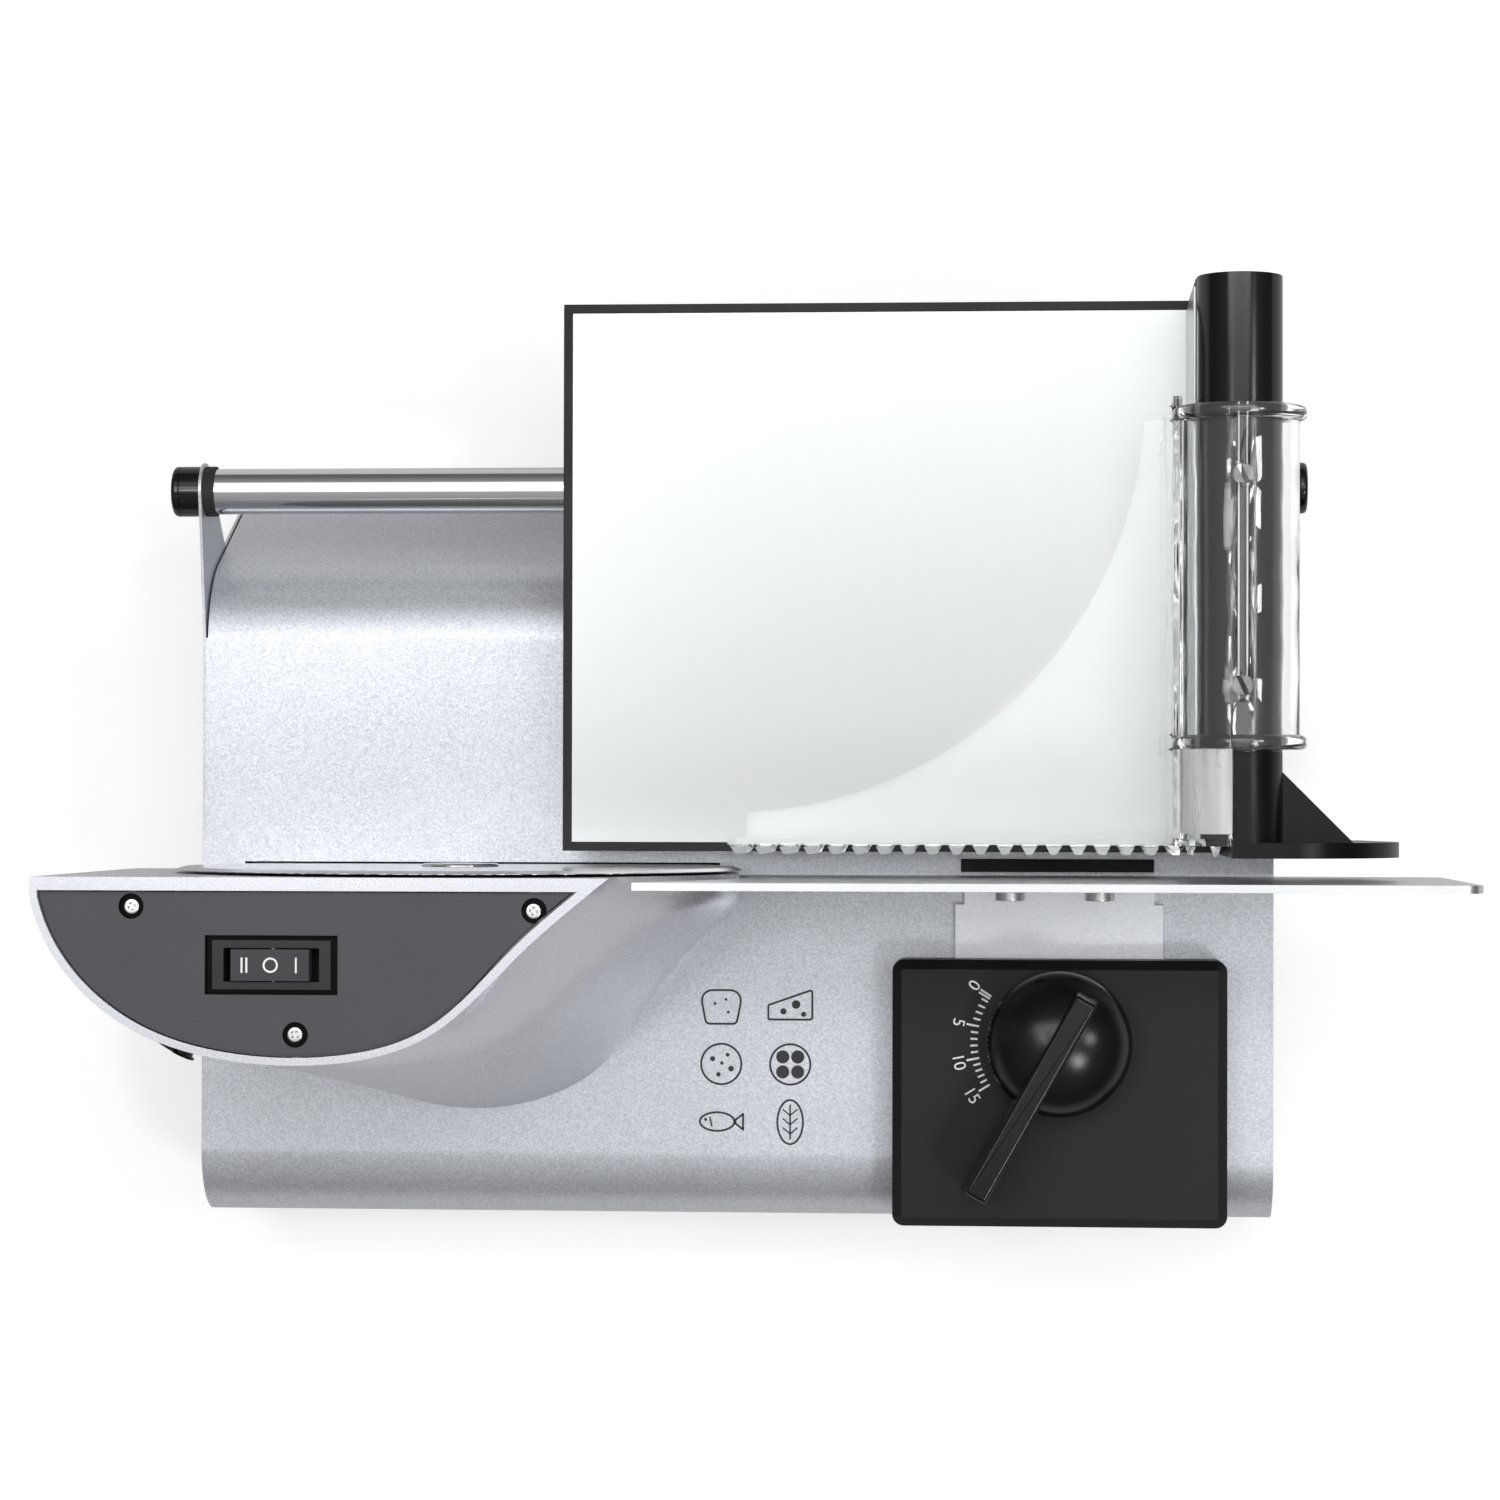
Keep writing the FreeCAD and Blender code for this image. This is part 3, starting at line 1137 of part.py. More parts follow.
def cam_plate():
    slot_half = PIN_RADIUS + 0.35
    web = cam_band(slot_half + CAM_WALL, CAM_BOTTOM, CAM_TOP)
    hub = cyl_z(CAM_HUB_RADIUS, KNOB_X, KNOB_Y, CAM_BOTTOM, CAM_TOP + 4)
    slot = cam_band(slot_half, CAM_BOTTOM - 1, CAM_TOP + 1)
    bore = cyl_z(SPINDLE_RADIUS, KNOB_X, KNOB_Y, CAM_BOTTOM - 1, CAM_TOP + 5)
    return [cut(fused(web, hub), slot, bore)]


def spindle_bush():
    top = UNDER_SHEET
    flange = cyl_z(11, KNOB_X, KNOB_Y, top - 2.5, top)
    body = cyl_z(8, KNOB_X, KNOB_Y, top - 10, top - 2.5)
    return [cut(fused(flange, body), cyl_z(SPINDLE_RADIUS + RUN_GAP, KNOB_X, KNOB_Y, top - 11, top + 1))]


def knob_spindle():
    low = UNDER_SHEET - 18
    shaft = cyl_z(SPINDLE_RADIUS, KNOB_X, KNOB_Y, low, BOX_TOP + KNOB_HEIGHT - 8)
    return [shaft]


def spindle_fixings():
    """Nut at the spindle's lower end, and the wave washer over it that holds the knob where it is set."""
    low = UNDER_SHEET - 17
    top = low + NUT_HEIGHT
    nut = ring_z(8.5, SPINDLE_RADIUS, KNOB_X, KNOB_Y, low, top)
    washer = ring_z(8, SPINDLE_RADIUS + 0.2, KNOB_X, KNOB_Y, top, top + WASHER_HEIGHT)
    return [nut, washer]


def knob_box():
    corner = BOX_CORNER
    outer = box((BOX_LEFT, BOX_RIGHT), (BASE_FRONT, BOX_BACK), (BASE_TOP - BOX_SKIRT, BOX_TOP))
    uprights = [edge for edge in outer.Edges
                if abs(edge.Vertexes[0].Z - edge.Vertexes[1].Z) > 1]
    outer = outer.makeFillet(corner, uprights)
    rim = [edge for edge in outer.Edges if edge.BoundBox.ZMin > BOX_TOP - 0.01]
    outer = outer.makeChamfer(BOX_BEVEL, rim)
    wall = BOX_WALL
    inner = box((BOX_LEFT + wall, BOX_RIGHT - wall), (BASE_FRONT + wall, BOX_BACK - wall),
                (BASE_TOP - BOX_SKIRT - 1, BOX_TOP - wall))
    rims = [edge for edge in inner.Edges if edge.BoundBox.ZMin > BOX_TOP - wall - 0.01]
    inner = inner.makeChamfer(BOX_BEVEL, rims)
    posts = [cyl_z(BOX_POST_RADIUS, x, y, BASE_TOP, BOX_TOP - wall + 0.1)
             for x, y in box_post_places()]
    bores = [cyl_z(SCREW_SHANK_RADIUS, x, y, BASE_TOP - 1, BASE_TOP + 12)
             for x, y in box_post_places()]
    mouth = box((CARRIER_LEFT - 2 * SLIDE_GAP, CARRIER_RIGHT + 2 * SLIDE_GAP),
                (BOX_BACK - wall - 1, BOX_BACK + 1), (BASE_TOP - 1, CARRIER_TOP + 2 * SLIDE_GAP))
    hole = cyl_z(SPINDLE_RADIUS + SLIDE_GAP, KNOB_X, KNOB_Y, BOX_TOP - wall - 1, BOX_TOP + 1)
    base = base_profile(0, BOX_LEFT - 5, BOX_RIGHT + 5, BASE_BOTTOM)
    shell = cut(outer, inner).fuse(posts)
    return [cut(shell, base, mouth, hole, *bores)]


def thickness_knob():
    """Domed knob with a long grip bar across it."""
    low = BOX_TOP + SLIDE_GAP
    centre = Vec(KNOB_X, KNOB_Y, 0)
    skirt_top = low + KNOB_SKIRT
    top = low + KNOB_HEIGHT
    half = math.radians(45)
    rise = top - skirt_top

    def at(radius, z):
        return Vec(KNOB_X + radius, KNOB_Y, z)
    edges = [line(at(0, low), at(KNOB_RADIUS, low)),
             line(at(KNOB_RADIUS, low), at(KNOB_RADIUS - 0.4, skirt_top)),
             arc(at(KNOB_RADIUS - 0.4, skirt_top),
                 at((KNOB_RADIUS - 0.4) * math.cos(half), skirt_top + rise * math.sin(half)),
                 at(0, top)),
             line(at(0, top), at(0, low))]
    dome = face_of(edges).revolve(centre, Vec(0, 0, 1), 360)
    levels = [(low + GRIP_BOTTOM, GRIP_FOOT, GRIP_FOOT_WIDTH / 2),
              (low + GRIP_HEIGHT, GRIP_TOP, GRIP_TOP_WIDTH / 2)]
    wires = [Part.makePolygon([Vec(ends[0], -side, z), Vec(ends[1], -side, z), Vec(ends[1], side, z),
                               Vec(ends[0], side, z), Vec(ends[0], -side, z)])
             for z, ends, side in levels]
    bar = Part.makeLoft(wires, True, True)
    rim = [edge for edge in bar.Edges if edge.BoundBox.ZMin > low + GRIP_HEIGHT - 0.01]
    bar = bar.makeFillet(0.9, rim)
    bar.rotate(Vec(0, 0, 0), Vec(0, 0, 1), GRIP_ANGLE)
    bar.translate(centre)
    bore = cyl_z(SPINDLE_RADIUS, KNOB_X, KNOB_Y, low - 1, BOX_TOP + KNOB_HEIGHT - 8)
    return [cut(dome.fuse(bar), bore)]


# Slide rod

def slide_rod():
    return [cyl_x(ROD_RADIUS, ROD_Y, ROD_Z, BASE_LEFT - ROD_SOCKET, BASE_RIGHT + ROD_SOCKET)]


def rod_caps():
    caps = []
    from_end, width, depth = ROD_CAP_GROOVE
    radius = ROD_RADIUS + ROD_CAP_WALL
    for edge, side, length in ((BASE_LEFT, -1, ROD_CAP_LENGTHS[0]),
                               (BASE_RIGHT, 1, ROD_CAP_LENGTHS[1])):
        end = edge + side * length
        cap = cyl_x(radius, ROD_Y, ROD_Z, *sorted((edge, end)))
        cap = cap.makeFillet(1.5, [e for e in cap.Edges if abs(e.CenterOfMass.x - end) < 0.01])
        start = end - side * from_end
        groove = ring_x(radius + 1, radius - depth, ROD_Y, ROD_Z,
                        *sorted((start, start - side * width)))
        socket = sorted((edge, edge + side * ROD_SOCKET))
        caps.append(cut(cap, cyl_x(ROD_RADIUS, ROD_Y, ROD_Z, *socket), groove))
    return caps


def rod_collars():
    left, right = BASE_LEFT + SIDE_SHEET, BASE_RIGHT - SIDE_SHEET
    places = [(left, left + COLLAR_LENGTH), (right - COLLAR_LENGTH, right)]
    return [ring_x(ROD_RADIUS + COLLAR_WALL, ROD_RADIUS, ROD_Y, ROD_Z, *place) for place in places]


# Carriage

def block_screw_places():
    return [(BLOCK_LEFT + x, ROD_Y + side * (BLOCK_DEPTH / 2 - 4.5))
            for x in (15, BLOCK_LENGTH - 15) for side in (-1, 1)]


def tray_frame():
    """Tray frame with its lip, skirt, side wall, tube saddle and front legs."""
    left, right = TRAY_LEFT, WALL_RIGHT
    outer = box((left, right), (TRAY_FRONT, TRAY_BACK), (TRAY_UNDER, TRAY_TOP + LIP_PROUD))
    pocket = box((left + TRAY_LIP, right + 1), (TRAY_FRONT + TRAY_LIP, TRAY_BACK - TRAY_LIP),
                 (SHEET_UNDER, TRAY_TOP + 5))
    hollow = box((left + TRAY_LIP, right - WALL_THICK),
                 (TRAY_FRONT + TRAY_LIP, TRAY_BACK - TRAY_LIP), (TRAY_UNDER - 1, FLOOR_UNDER))
    frame = cut(outer, pocket, hollow)
    wall = box((WALL_LEFT, right), (WALL_FRONT, TRAY_BACK), (TRAY_UNDER, WALL_TOP))
    saddle = box((right, right + SADDLE_THICK), (TUBE_FRONT, TUBE_BACK), (TUBE_Z - 32, WALL_TOP + 3))
    legs = [box((x - LEG_SIZE / 2, x + LEG_SIZE / 2), (LEG_Y - LEG_SIZE / 2, LEG_Y + LEG_SIZE / 2),
                (BASE_TOP + SLIDE_GAP + PAD_HEIGHT, FLOOR_UNDER + 0.1)) for x in LEG_PLACES]
    tube = cyl_y(TUBE_RADIUS, TUBE_X, TUBE_Z, TRAY_FRONT - 5, TRAY_BACK + 5)
    holes = []
    for x, y in block_screw_places():
        holes.append(cyl_z(4, x, y, FLOOR_UNDER - 1, SHEET_UNDER + 1))
    for x in LEG_PLACES:
        holes.append(cyl_z(2.5, x, LEG_Y, BASE_TOP, BASE_TOP + SLIDE_GAP + PAD_HEIGHT + 7))
    for y, z in guard_screw_places():
        holes.append(cyl_x(SCREW_SHANK_RADIUS, y, z, right - 9, right + 1))
    pads = [box((right - 10, right), (y - 4, y + 4), (TRAY_UNDER, FLOOR_UNDER + 0.1))
            for y, z in guard_screw_places()]
    return [cut(fused(frame, wall, saddle, *legs, *pads), tube, *holes)]


def tray_sheet():
    """Stainless sheet of the tray, bent up along the side wall."""
    wall_x = WALL_LEFT
    y0, y1 = TRAY_FRONT + TRAY_LIP, TRAY_BACK - TRAY_LIP
    floor = box((TRAY_LEFT + TRAY_LIP, wall_x), (y0, y1), (SHEET_UNDER, TRAY_TOP))
    wall = box((wall_x - STEEL_SHEET, wall_x), (WALL_FRONT, y1), (SHEET_UNDER, WALL_TOP + 2))
    return [fused(floor, wall)]


def slide_block():
    low = ROD_Z - BLOCK_UNDER
    block = box((BLOCK_LEFT, BLOCK_LEFT + BLOCK_LENGTH),
                (ROD_Y - BLOCK_DEPTH / 2, ROD_Y + BLOCK_DEPTH / 2), (low, FLOOR_UNDER))
    lower = [edge for edge in block.Edges if edge.BoundBox.ZMax < low + 0.01
             and edge.BoundBox.XLength > 1]
    block = block.makeFillet(8, lower)
    bore = cyl_x(ROD_RADIUS + RUN_GAP + BLOCK_BUSH_WALL, ROD_Y, ROD_Z,
                 BLOCK_LEFT - 1, BLOCK_LEFT + BLOCK_LENGTH + 1)
    holes = [cyl_z(2, x, y, FLOOR_UNDER - 16, FLOOR_UNDER + 1) for x, y in block_screw_places()]
    return [cut(block, bore, *holes)]


def slide_bushes():
    outer = ROD_RADIUS + RUN_GAP + BLOCK_BUSH_WALL
    inner = ROD_RADIUS + RUN_GAP
    ends = [(BLOCK_LEFT, BLOCK_LEFT + BLOCK_BUSH_LENGTH),
            (BLOCK_LEFT + BLOCK_LENGTH - BLOCK_BUSH_LENGTH, BLOCK_LEFT + BLOCK_LENGTH)]
    return [ring_x(outer, inner, ROD_Y, ROD_Z, *end) for end in ends]


def block_screws():
    return [fused(cyl_z(4, x, y, FLOOR_UNDER, SHEET_UNDER - 0.2),
                  cyl_z(2, x, y, FLOOR_UNDER - 14, FLOOR_UNDER)) for x, y in block_screw_places()]


def glide_pads():
    low = BASE_TOP + SLIDE_GAP
    pads = []
    for x in LEG_PLACES:
        pad = cyl_z(PAD_RADIUS, x, LEG_Y, low, low + PAD_HEIGHT)
        stem = cyl_z(2.5, x, LEG_Y, low + PAD_HEIGHT, low + PAD_HEIGHT + 6)
        pads.append(fused(pad, stem))
    return pads


def handle_tube():
    return [ring_y(TUBE_RADIUS, TUBE_RADIUS - TUBE_WALL, TUBE_X, TUBE_Z, TUBE_FRONT, TUBE_BACK)]


def tube_plug():
    """Plug in the tube's back end, with a dished face."""
    inner = TUBE_RADIUS - TUBE_WALL
    body = cyl_y(inner, TUBE_X, TUBE_Z, TUBE_BACK - 10, TUBE_BACK)
    dish = Part.makeSphere(30, Vec(TUBE_X, TUBE_BACK + 28.5, TUBE_Z))
    return [cut(body, dish, cyl_y(inner - 2, TUBE_X, TUBE_Z, TUBE_BACK - 11, TUBE_BACK - 4))]


def guard_screw_places():
    z = TRAY_UNDER + 5.5
    return [(TRAY_FRONT + 8.5, z), (TRAY_FRONT + 15.5, z)]


def thumb_guard():
    """Thumb guard plate with the half pipe that carries the tube, a gusset and a foot."""
    top = TUBE_Z + TUBE_RADIUS
    flat_x = TUBE_X + GUARD_FLAT
    side_z = top - GUARD_DROP
    reach = GUARD_RIGHT - flat_x
    half = math.radians(45)
    low = TRAY_UNDER

    def at(x, z):
        return Vec(x, GUARD_FRONT, z)
    edges = [line(at(GUARD_LEFT, low), at(GUARD_LEFT, top)),
             line(at(GUARD_LEFT, top), at(flat_x, top)),
             arc(at(flat_x, top), at(flat_x + reach * math.sin(half),
                                     side_z + GUARD_DROP * math.cos(half)),
                 at(GUARD_RIGHT, side_z)),
             line(at(GUARD_RIGHT, side_z), at(GUARD_RIGHT - 8, low)),
             line(at(GUARD_RIGHT - 8, low), at(GUARD_LEFT, low))]
    plate = face_of(edges).extrude(Vec(0, GUARD_THICK, 0))
    bar = ring_y(TUBE_RADIUS, SPIGOT_OUTER - 2.5, TUBE_X, TUBE_Z, GUARD_BACK, TUBE_FRONT)
    bar = bar.common(box((GUARD_LEFT, TUBE_X + 50), (0, 100), (TUBE_Z - 50, TUBE_Z + 50)))
    spigot = ring_y(SPIGOT_OUTER, SPIGOT_OUTER - 2.5, TUBE_X, TUBE_Z,
                    TUBE_FRONT, TUBE_FRONT + SPIGOT_LENGTH)
    edge_x = TUBE_X + TUBE_RADIUS - 0.5
    gusset = prism_z([(edge_x, GUARD_BACK + GUSSET[0]), (edge_x, GUARD_BACK),
                      (edge_x + GUSSET[1], GUARD_BACK)],
                     TUBE_Z - GUSSET[2] / 2, TUBE_Z + GUSSET[2] / 2)
    foot = box((WALL_RIGHT, GUARD_LEFT + 8), (TRAY_FRONT, TRAY_FRONT + 19), (low, TRAY_TOP))
    holes = [cyl_x(SCREW_SHANK_RADIUS, y, z, WALL_RIGHT - 1, GUARD_LEFT + 9)
             for y, z in guard_screw_places()]
    return [cut(fused(plate, bar, spigot, gusset, foot), *holes)]


def guard_screws():
    screws = []
    for y, z in guard_screw_places():
        edge = GUARD_LEFT + 8
        head = cyl_x(3.2, y, z, edge, edge + 2)
        shank = cyl_x(SCREW_SHANK_RADIUS, y, z, WALL_RIGHT - 8, edge)
        screws.append(fused(head, shank))
    return screws


# Food holder

def liner_ends():
    return [(SLEEVE_START, SLEEVE_START + FLANGE_THICK), (SLEEVE_END - FLANGE_THICK, SLEEVE_END)]


def guide_liners():
    return [sector_y(LINER_INNER, LINER_OUTER, SLEEVE_OPEN, FLANGE_END, TUBE_X, TUBE_Z, *end)
            for end in liner_ends()]


def spike(x, z, half):
    """One blunt pyramid on the front of the spike plate."""
    front = HOLDER_PLATE[0]
    rings = []
    for y, size in ((front, half), (front - SPIKE_HEIGHT, half * SPIKE_TIP)):
        rings.append([Vec(x - size, y, z - size), Vec(x + size, y, z - size),
                      Vec(x + size, y, z + size), Vec(x - size, y, z + size)])
    root, tip = rings
    faces = [polygon_face(root), polygon_face(tip)]
    for index in range(4):
        after = (index + 1) % 4
        faces.append(polygon_face([root[index], root[after], tip[after], tip[index]]))
    return Part.Solid(Part.Shell(faces))


def spikes():
    """Rows and columns of spikes on the plate, and two on the arch beside the tube."""
    half = SPIKE_BASE / 2
    columns = int((HOLDER_RIGHT - HOLDER_LEFT - SPIKE_BASE) / SPIKE_PITCH) + 1
    first_x = HOLDER_LEFT + half + 0.2
    first_z = HOLDER_BOTTOM + 6
    shapes = [spike(first_x + column * SPIKE_PITCH, first_z + row * SPIKE_ROW_PITCH, half)
              for column in range(columns) for row in range(SPIKE_ROWS)]
    radius = (SLEEVE_INNER + FLANGE_OUTER) / 2
    for degrees in ARCH_SPIKES:
        turn = math.radians(degrees)
        shapes.append(spike(TUBE_X + radius * math.cos(turn), TUBE_Z + radius * math.sin(turn),
                            (FLANGE_OUTER - SLEEVE_INNER) * 0.34))
    return shapes


def holder_web():
    """Level web in the corner behind the spike plate, with its hollow rounded edge."""
    z = HOLDER_BOTTOM
    left = HOLDER_LEFT + 2
    front = HOLDER_PLATE[0]
    right = HOLDER_LEG_LEFT + 1
    end = SLEEVE_END + LEG_BEYOND
    mid_y = front + WEB_NOSE + WEB_RADIUS
    mid_x = left - 5.5

    def at(x, y):
        return Vec(x, y, z)

    def on_edge(degrees):
        turn = math.radians(degrees)
        return at(mid_x + WEB_RADIUS * math.sin(turn), mid_y - WEB_RADIUS * math.cos(turn))
    start = math.degrees(math.asin((left - mid_x) / WEB_RADIUS))
    stop = math.degrees(math.acos((mid_y - end) / WEB_RADIUS))
    edges = [line(at(right, front), at(left, front)),
             line(at(left, front), on_edge(start)),
             arc(on_edge(start), on_edge((start + stop) / 2), on_edge(stop)),
             line(on_edge(stop), at(right, end)),
             line(at(right, end), at(right, front))]
    web = face_of(edges).extrude(Vec(0, 0, WEB_THICK))
    corners = [edge for edge in web.Edges if edge.BoundBox.ZLength > 1
               and edge.BoundBox.XMax < right - 1 and edge.BoundBox.YMin > front + 1]
    return web.makeFillet(2.5, corners)


def pusher():
    """Clear food holder: spike plate, side leg, web and the open sleeve round the tube."""
    plate = box((HOLDER_LEFT, HOLDER_RIGHT), HOLDER_PLATE, (HOLDER_BOTTOM, HOLDER_TOP))
    leg_x = (HOLDER_LEG_LEFT, HOLDER_LEG_LEFT + LEG_THICK)
    leg = box(leg_x, (HOLDER_PLATE[0], SLEEVE_END + LEG_BEYOND), (HOLDER_BOTTOM, TUBE_Z + 1.5))
    sleeve = sector_y(SLEEVE_INNER, SLEEVE_OUTER, SLEEVE_OPEN, 180, TUBE_X, TUBE_Z,
                      SLEEVE_START, SLEEVE_END)
    flanges = [sector_y(LINER_OUTER + RUN_GAP, FLANGE_OUTER, SLEEVE_OPEN, FLANGE_END,
                        TUBE_X, TUBE_Z, *end) for end in liner_ends()]
    extension = sector_y(SLEEVE_INNER, SLEEVE_OUTER, EXTENSION_START, 180, TUBE_X, TUBE_Z,
                         HOLDER_PLATE[1], SLEEVE_START)
    arch = sector_y(SLEEVE_INNER, FLANGE_OUTER, EXTENSION_START + 2, 180, TUBE_X, TUBE_Z,
                    *HOLDER_PLATE)
    rib_top = TUBE_Z + SLEEVE_OUTER + 2
    rib = box((TUBE_X - 1.5, TUBE_X + 1.5), (SLEEVE_START + 15, SLEEVE_END - 4),
              (TUBE_Z + SLEEVE_OUTER - 1, rib_top))
    bosses = [cyl_z(3.2, TUBE_X, y, TUBE_Z + SLEEVE_OUTER - 1, rib_top + 1.2)
              for y in (SLEEVE_START + 20, SLEEVE_END - 23)]
    body = fused(plate, leg, holder_web(), sleeve, extension, arch, rib, *flanges, *bosses)
    return [body.fuse(spikes())]


NODES = [base_shell, base_side_left, base_side_right, bottom_cover, rubber_feet, base_screws,
         motor_housing, casing_screws, housing_floor, switch_panel, panel_screws,
         switch_body, switch_pivots, switch_rocker, cable_gland, gland_nut, blade, worm_wheel,
         blade_lock_screw, blade_bearing, worm, motor_shaft, rotor_core, commutator, cooling_fan,
         stator_core, carbon_brushes, motor_can, motor_end_cap, motor_bracket, shaft_bush,
         motor_screws, speed_board, stop_plate, plate_carrier, plate_bolts, plate_buffer,
         guide_screws, follower_pin, cam_plate, spindle_bush, knob_spindle, spindle_fixings,
         knob_box, thickness_knob, slide_rod, rod_caps, rod_collars,
         tray_frame, tray_sheet, slide_block, slide_bushes, block_screws, glide_pads, handle_tube,
         tube_plug, thumb_guard, guard_screws, guide_liners, pusher]


def export(node):
    """Write one node's solids, moved to the row's frame."""
    solids = []
    for shape in node():
        for solid in shape.Solids:
            moved = solid.copy()
            moved.translate(ORIGIN * -1)
            solids.append(moved)
    group = solids[0] if len(solids) == 1 else Part.makeCompound(solids)
    group.exportStep("parts/" + node.__name__ + ".step")
    sizes = ", ".join("%.1f" % (solid.Volume / 1000) for solid in solids)
    valid = all(solid.isValid() for solid in solids)
    print("%-18s %d solids, cm3: %s%s" % (node.__name__, len(solids), sizes, "" if valid else "  INVALID"))


def main():
    os.makedirs("parts", exist_ok=True)
    for node in NODES:
        export(node)


main()
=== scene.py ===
"""Looks of the electric food slicer, built round its fixed frame.

Each group of pieces has an operator, and the panel lists them in the order in which they are made.
"""
import json
import math

import bmesh
import bpy
from mathutils import Matrix, Vector

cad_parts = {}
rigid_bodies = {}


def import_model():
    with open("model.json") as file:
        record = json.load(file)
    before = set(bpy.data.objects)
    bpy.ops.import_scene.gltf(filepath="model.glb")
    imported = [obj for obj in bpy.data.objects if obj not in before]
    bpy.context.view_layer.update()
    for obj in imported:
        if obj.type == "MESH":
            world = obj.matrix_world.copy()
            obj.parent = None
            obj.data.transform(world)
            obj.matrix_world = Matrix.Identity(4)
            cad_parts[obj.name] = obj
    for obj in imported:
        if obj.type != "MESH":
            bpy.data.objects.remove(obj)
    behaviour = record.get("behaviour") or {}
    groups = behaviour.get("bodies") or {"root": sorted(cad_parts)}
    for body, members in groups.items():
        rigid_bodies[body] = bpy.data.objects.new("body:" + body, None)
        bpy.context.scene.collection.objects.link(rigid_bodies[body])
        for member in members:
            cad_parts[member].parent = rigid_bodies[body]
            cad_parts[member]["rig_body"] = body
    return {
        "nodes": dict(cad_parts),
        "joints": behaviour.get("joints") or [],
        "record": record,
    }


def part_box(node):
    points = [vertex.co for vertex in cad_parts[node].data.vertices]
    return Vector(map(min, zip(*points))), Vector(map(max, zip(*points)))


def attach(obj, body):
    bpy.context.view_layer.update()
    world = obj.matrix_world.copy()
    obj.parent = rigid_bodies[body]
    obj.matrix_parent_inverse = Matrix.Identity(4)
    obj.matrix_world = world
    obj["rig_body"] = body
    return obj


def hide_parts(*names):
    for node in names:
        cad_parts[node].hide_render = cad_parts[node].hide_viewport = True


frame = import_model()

bl_info = {
    "name": "Electric Food Slicer",
    "version": (1, 0, 0),
    "blender": (4, 5, 0),
    "location": "3D View > Sidebar > Slicer",
    "description": "Builds the visible pieces, finishes and studio of an electric food slicer",
    "category": "Object",
}

MM = 0.001
SAME = 0.01 * MM     # what is closer than this is at the same place
HAIR = 0.001 * MM    # a smaller difference in height is none
NODES = frame["nodes"]
SLOT_OF = {part["node"]: part["material_slot"] for part in frame["record"]["subparts"]}
PIVOT = {joint["name"]: Vector(joint["pos_m"]) for joint in frame["joints"] if "pos_m" in joint}

# Camera, in metres, with its lens and sensor in millimetres
CAMERA_PLACE = Vector((0.0868, -0.01125, 1.473))
CAMERA_TARGET = Vector((-0.01635, 0.0066, 0.0))
CAMERA_ROLL = math.radians(0.124)
CAMERA_LENS = 96.0
CAMERA_SENSOR = 36.0
CAMERA_REACH = 50.0

# Lamps: name, place in metres, width, depth, watts
LAMPS = (
    ("softbox_overhead", (0.0, 0.72, 2.2), 2.0, 2.0, 13.0),
    ("strip_back", (0.0, 0.55, 2.0), 2.2, 0.3, 7.0),
    ("lamp_front_right", (0.86, -0.78, 2.0), 0.34, 0.34, 9.0),
    ("lamp_left", (-0.56, 0.16, 2.0), 0.16, 0.24, 1.6),
    ("lamp_right", (1.44, 0.16, 2.0), 0.3, 0.3, 5.5),
)

# Sky: its strength near the horizon and overhead, the height at which it starts to grow, and the
# share of plain white that is seen through clear plastic
SKY_HORIZON = 0.16
SKY_ZENITH = 0.5
SKY_START = 0.3
SKY_THROUGH = 0.5

# Floor: its side, and the two distances between which its glow grows to plain white, in metres; its
# glow under the machine, the share of the glow that gloss shows, and its clouds in millimetres
FLOOR_SIDE = 8.0
FLOOR_NEAR = 0.7
FLOOR_FAR = 2.2
FLOOR_GLOW = 0.5
FLOOR_GLOSS = 0.1
FLOOR_CLOUD = 120.0

# Skins: points closer than this many millimetres are merged, faces within this many degrees of one
# plane become one, and large faces count for this much in the shading of their corners
SKIN_MERGE = 0.004
SKIN_FLAT = 0.4
SKIN_WEIGHT = 80

# Printed dial, in millimetres and degrees about the knob's axis: where 0, 5, 10 and 15 stand, the
# step between them, and where the second stroke of the 0 stands
DIAL_TURNS = (146.4, 169.2, 191.4, 211.6)
DIAL_STEP = 5
DIAL_DOUBLE = 0.42
TICK_INNER = 27.8
TICK_SHORT = 2.5
TICK_LONG = 4.4
TICK_WIDTH = 0.7
NUMERAL_RADIUS = 35.0
PRINT_THICK = 0.03
STROKE_ROUND = 0.2    # of a stroke's width

# Rocker marks, in millimetres: the pair is half the distance between the two strokes of the II
MARK_HEIGHT = 4.8
MARK_STROKE = 0.6
MARK_SPACING = 8.2
MARK_PAIR = 0.75

# Printed food icons on the base, in millimetres, their columns and rows from the knob's axis
ICON_SIZE = 16.0
ICON_STROKE = 0.72
ICON_DISC = 0.92 * ICON_SIZE / 2
ICON_COLUMNS = (-117.0, -93.0)
ICON_ROWS = (10.5, -9.5, -29.5)

# Holder, in millimetres: rim of its flanges from the tube's axis, their rounding, and the longest
# edge along a rim
FLANGE_RIM = 21.0
FLANGE_ROUND = 1.8
FLANGE_STEP = 6.0

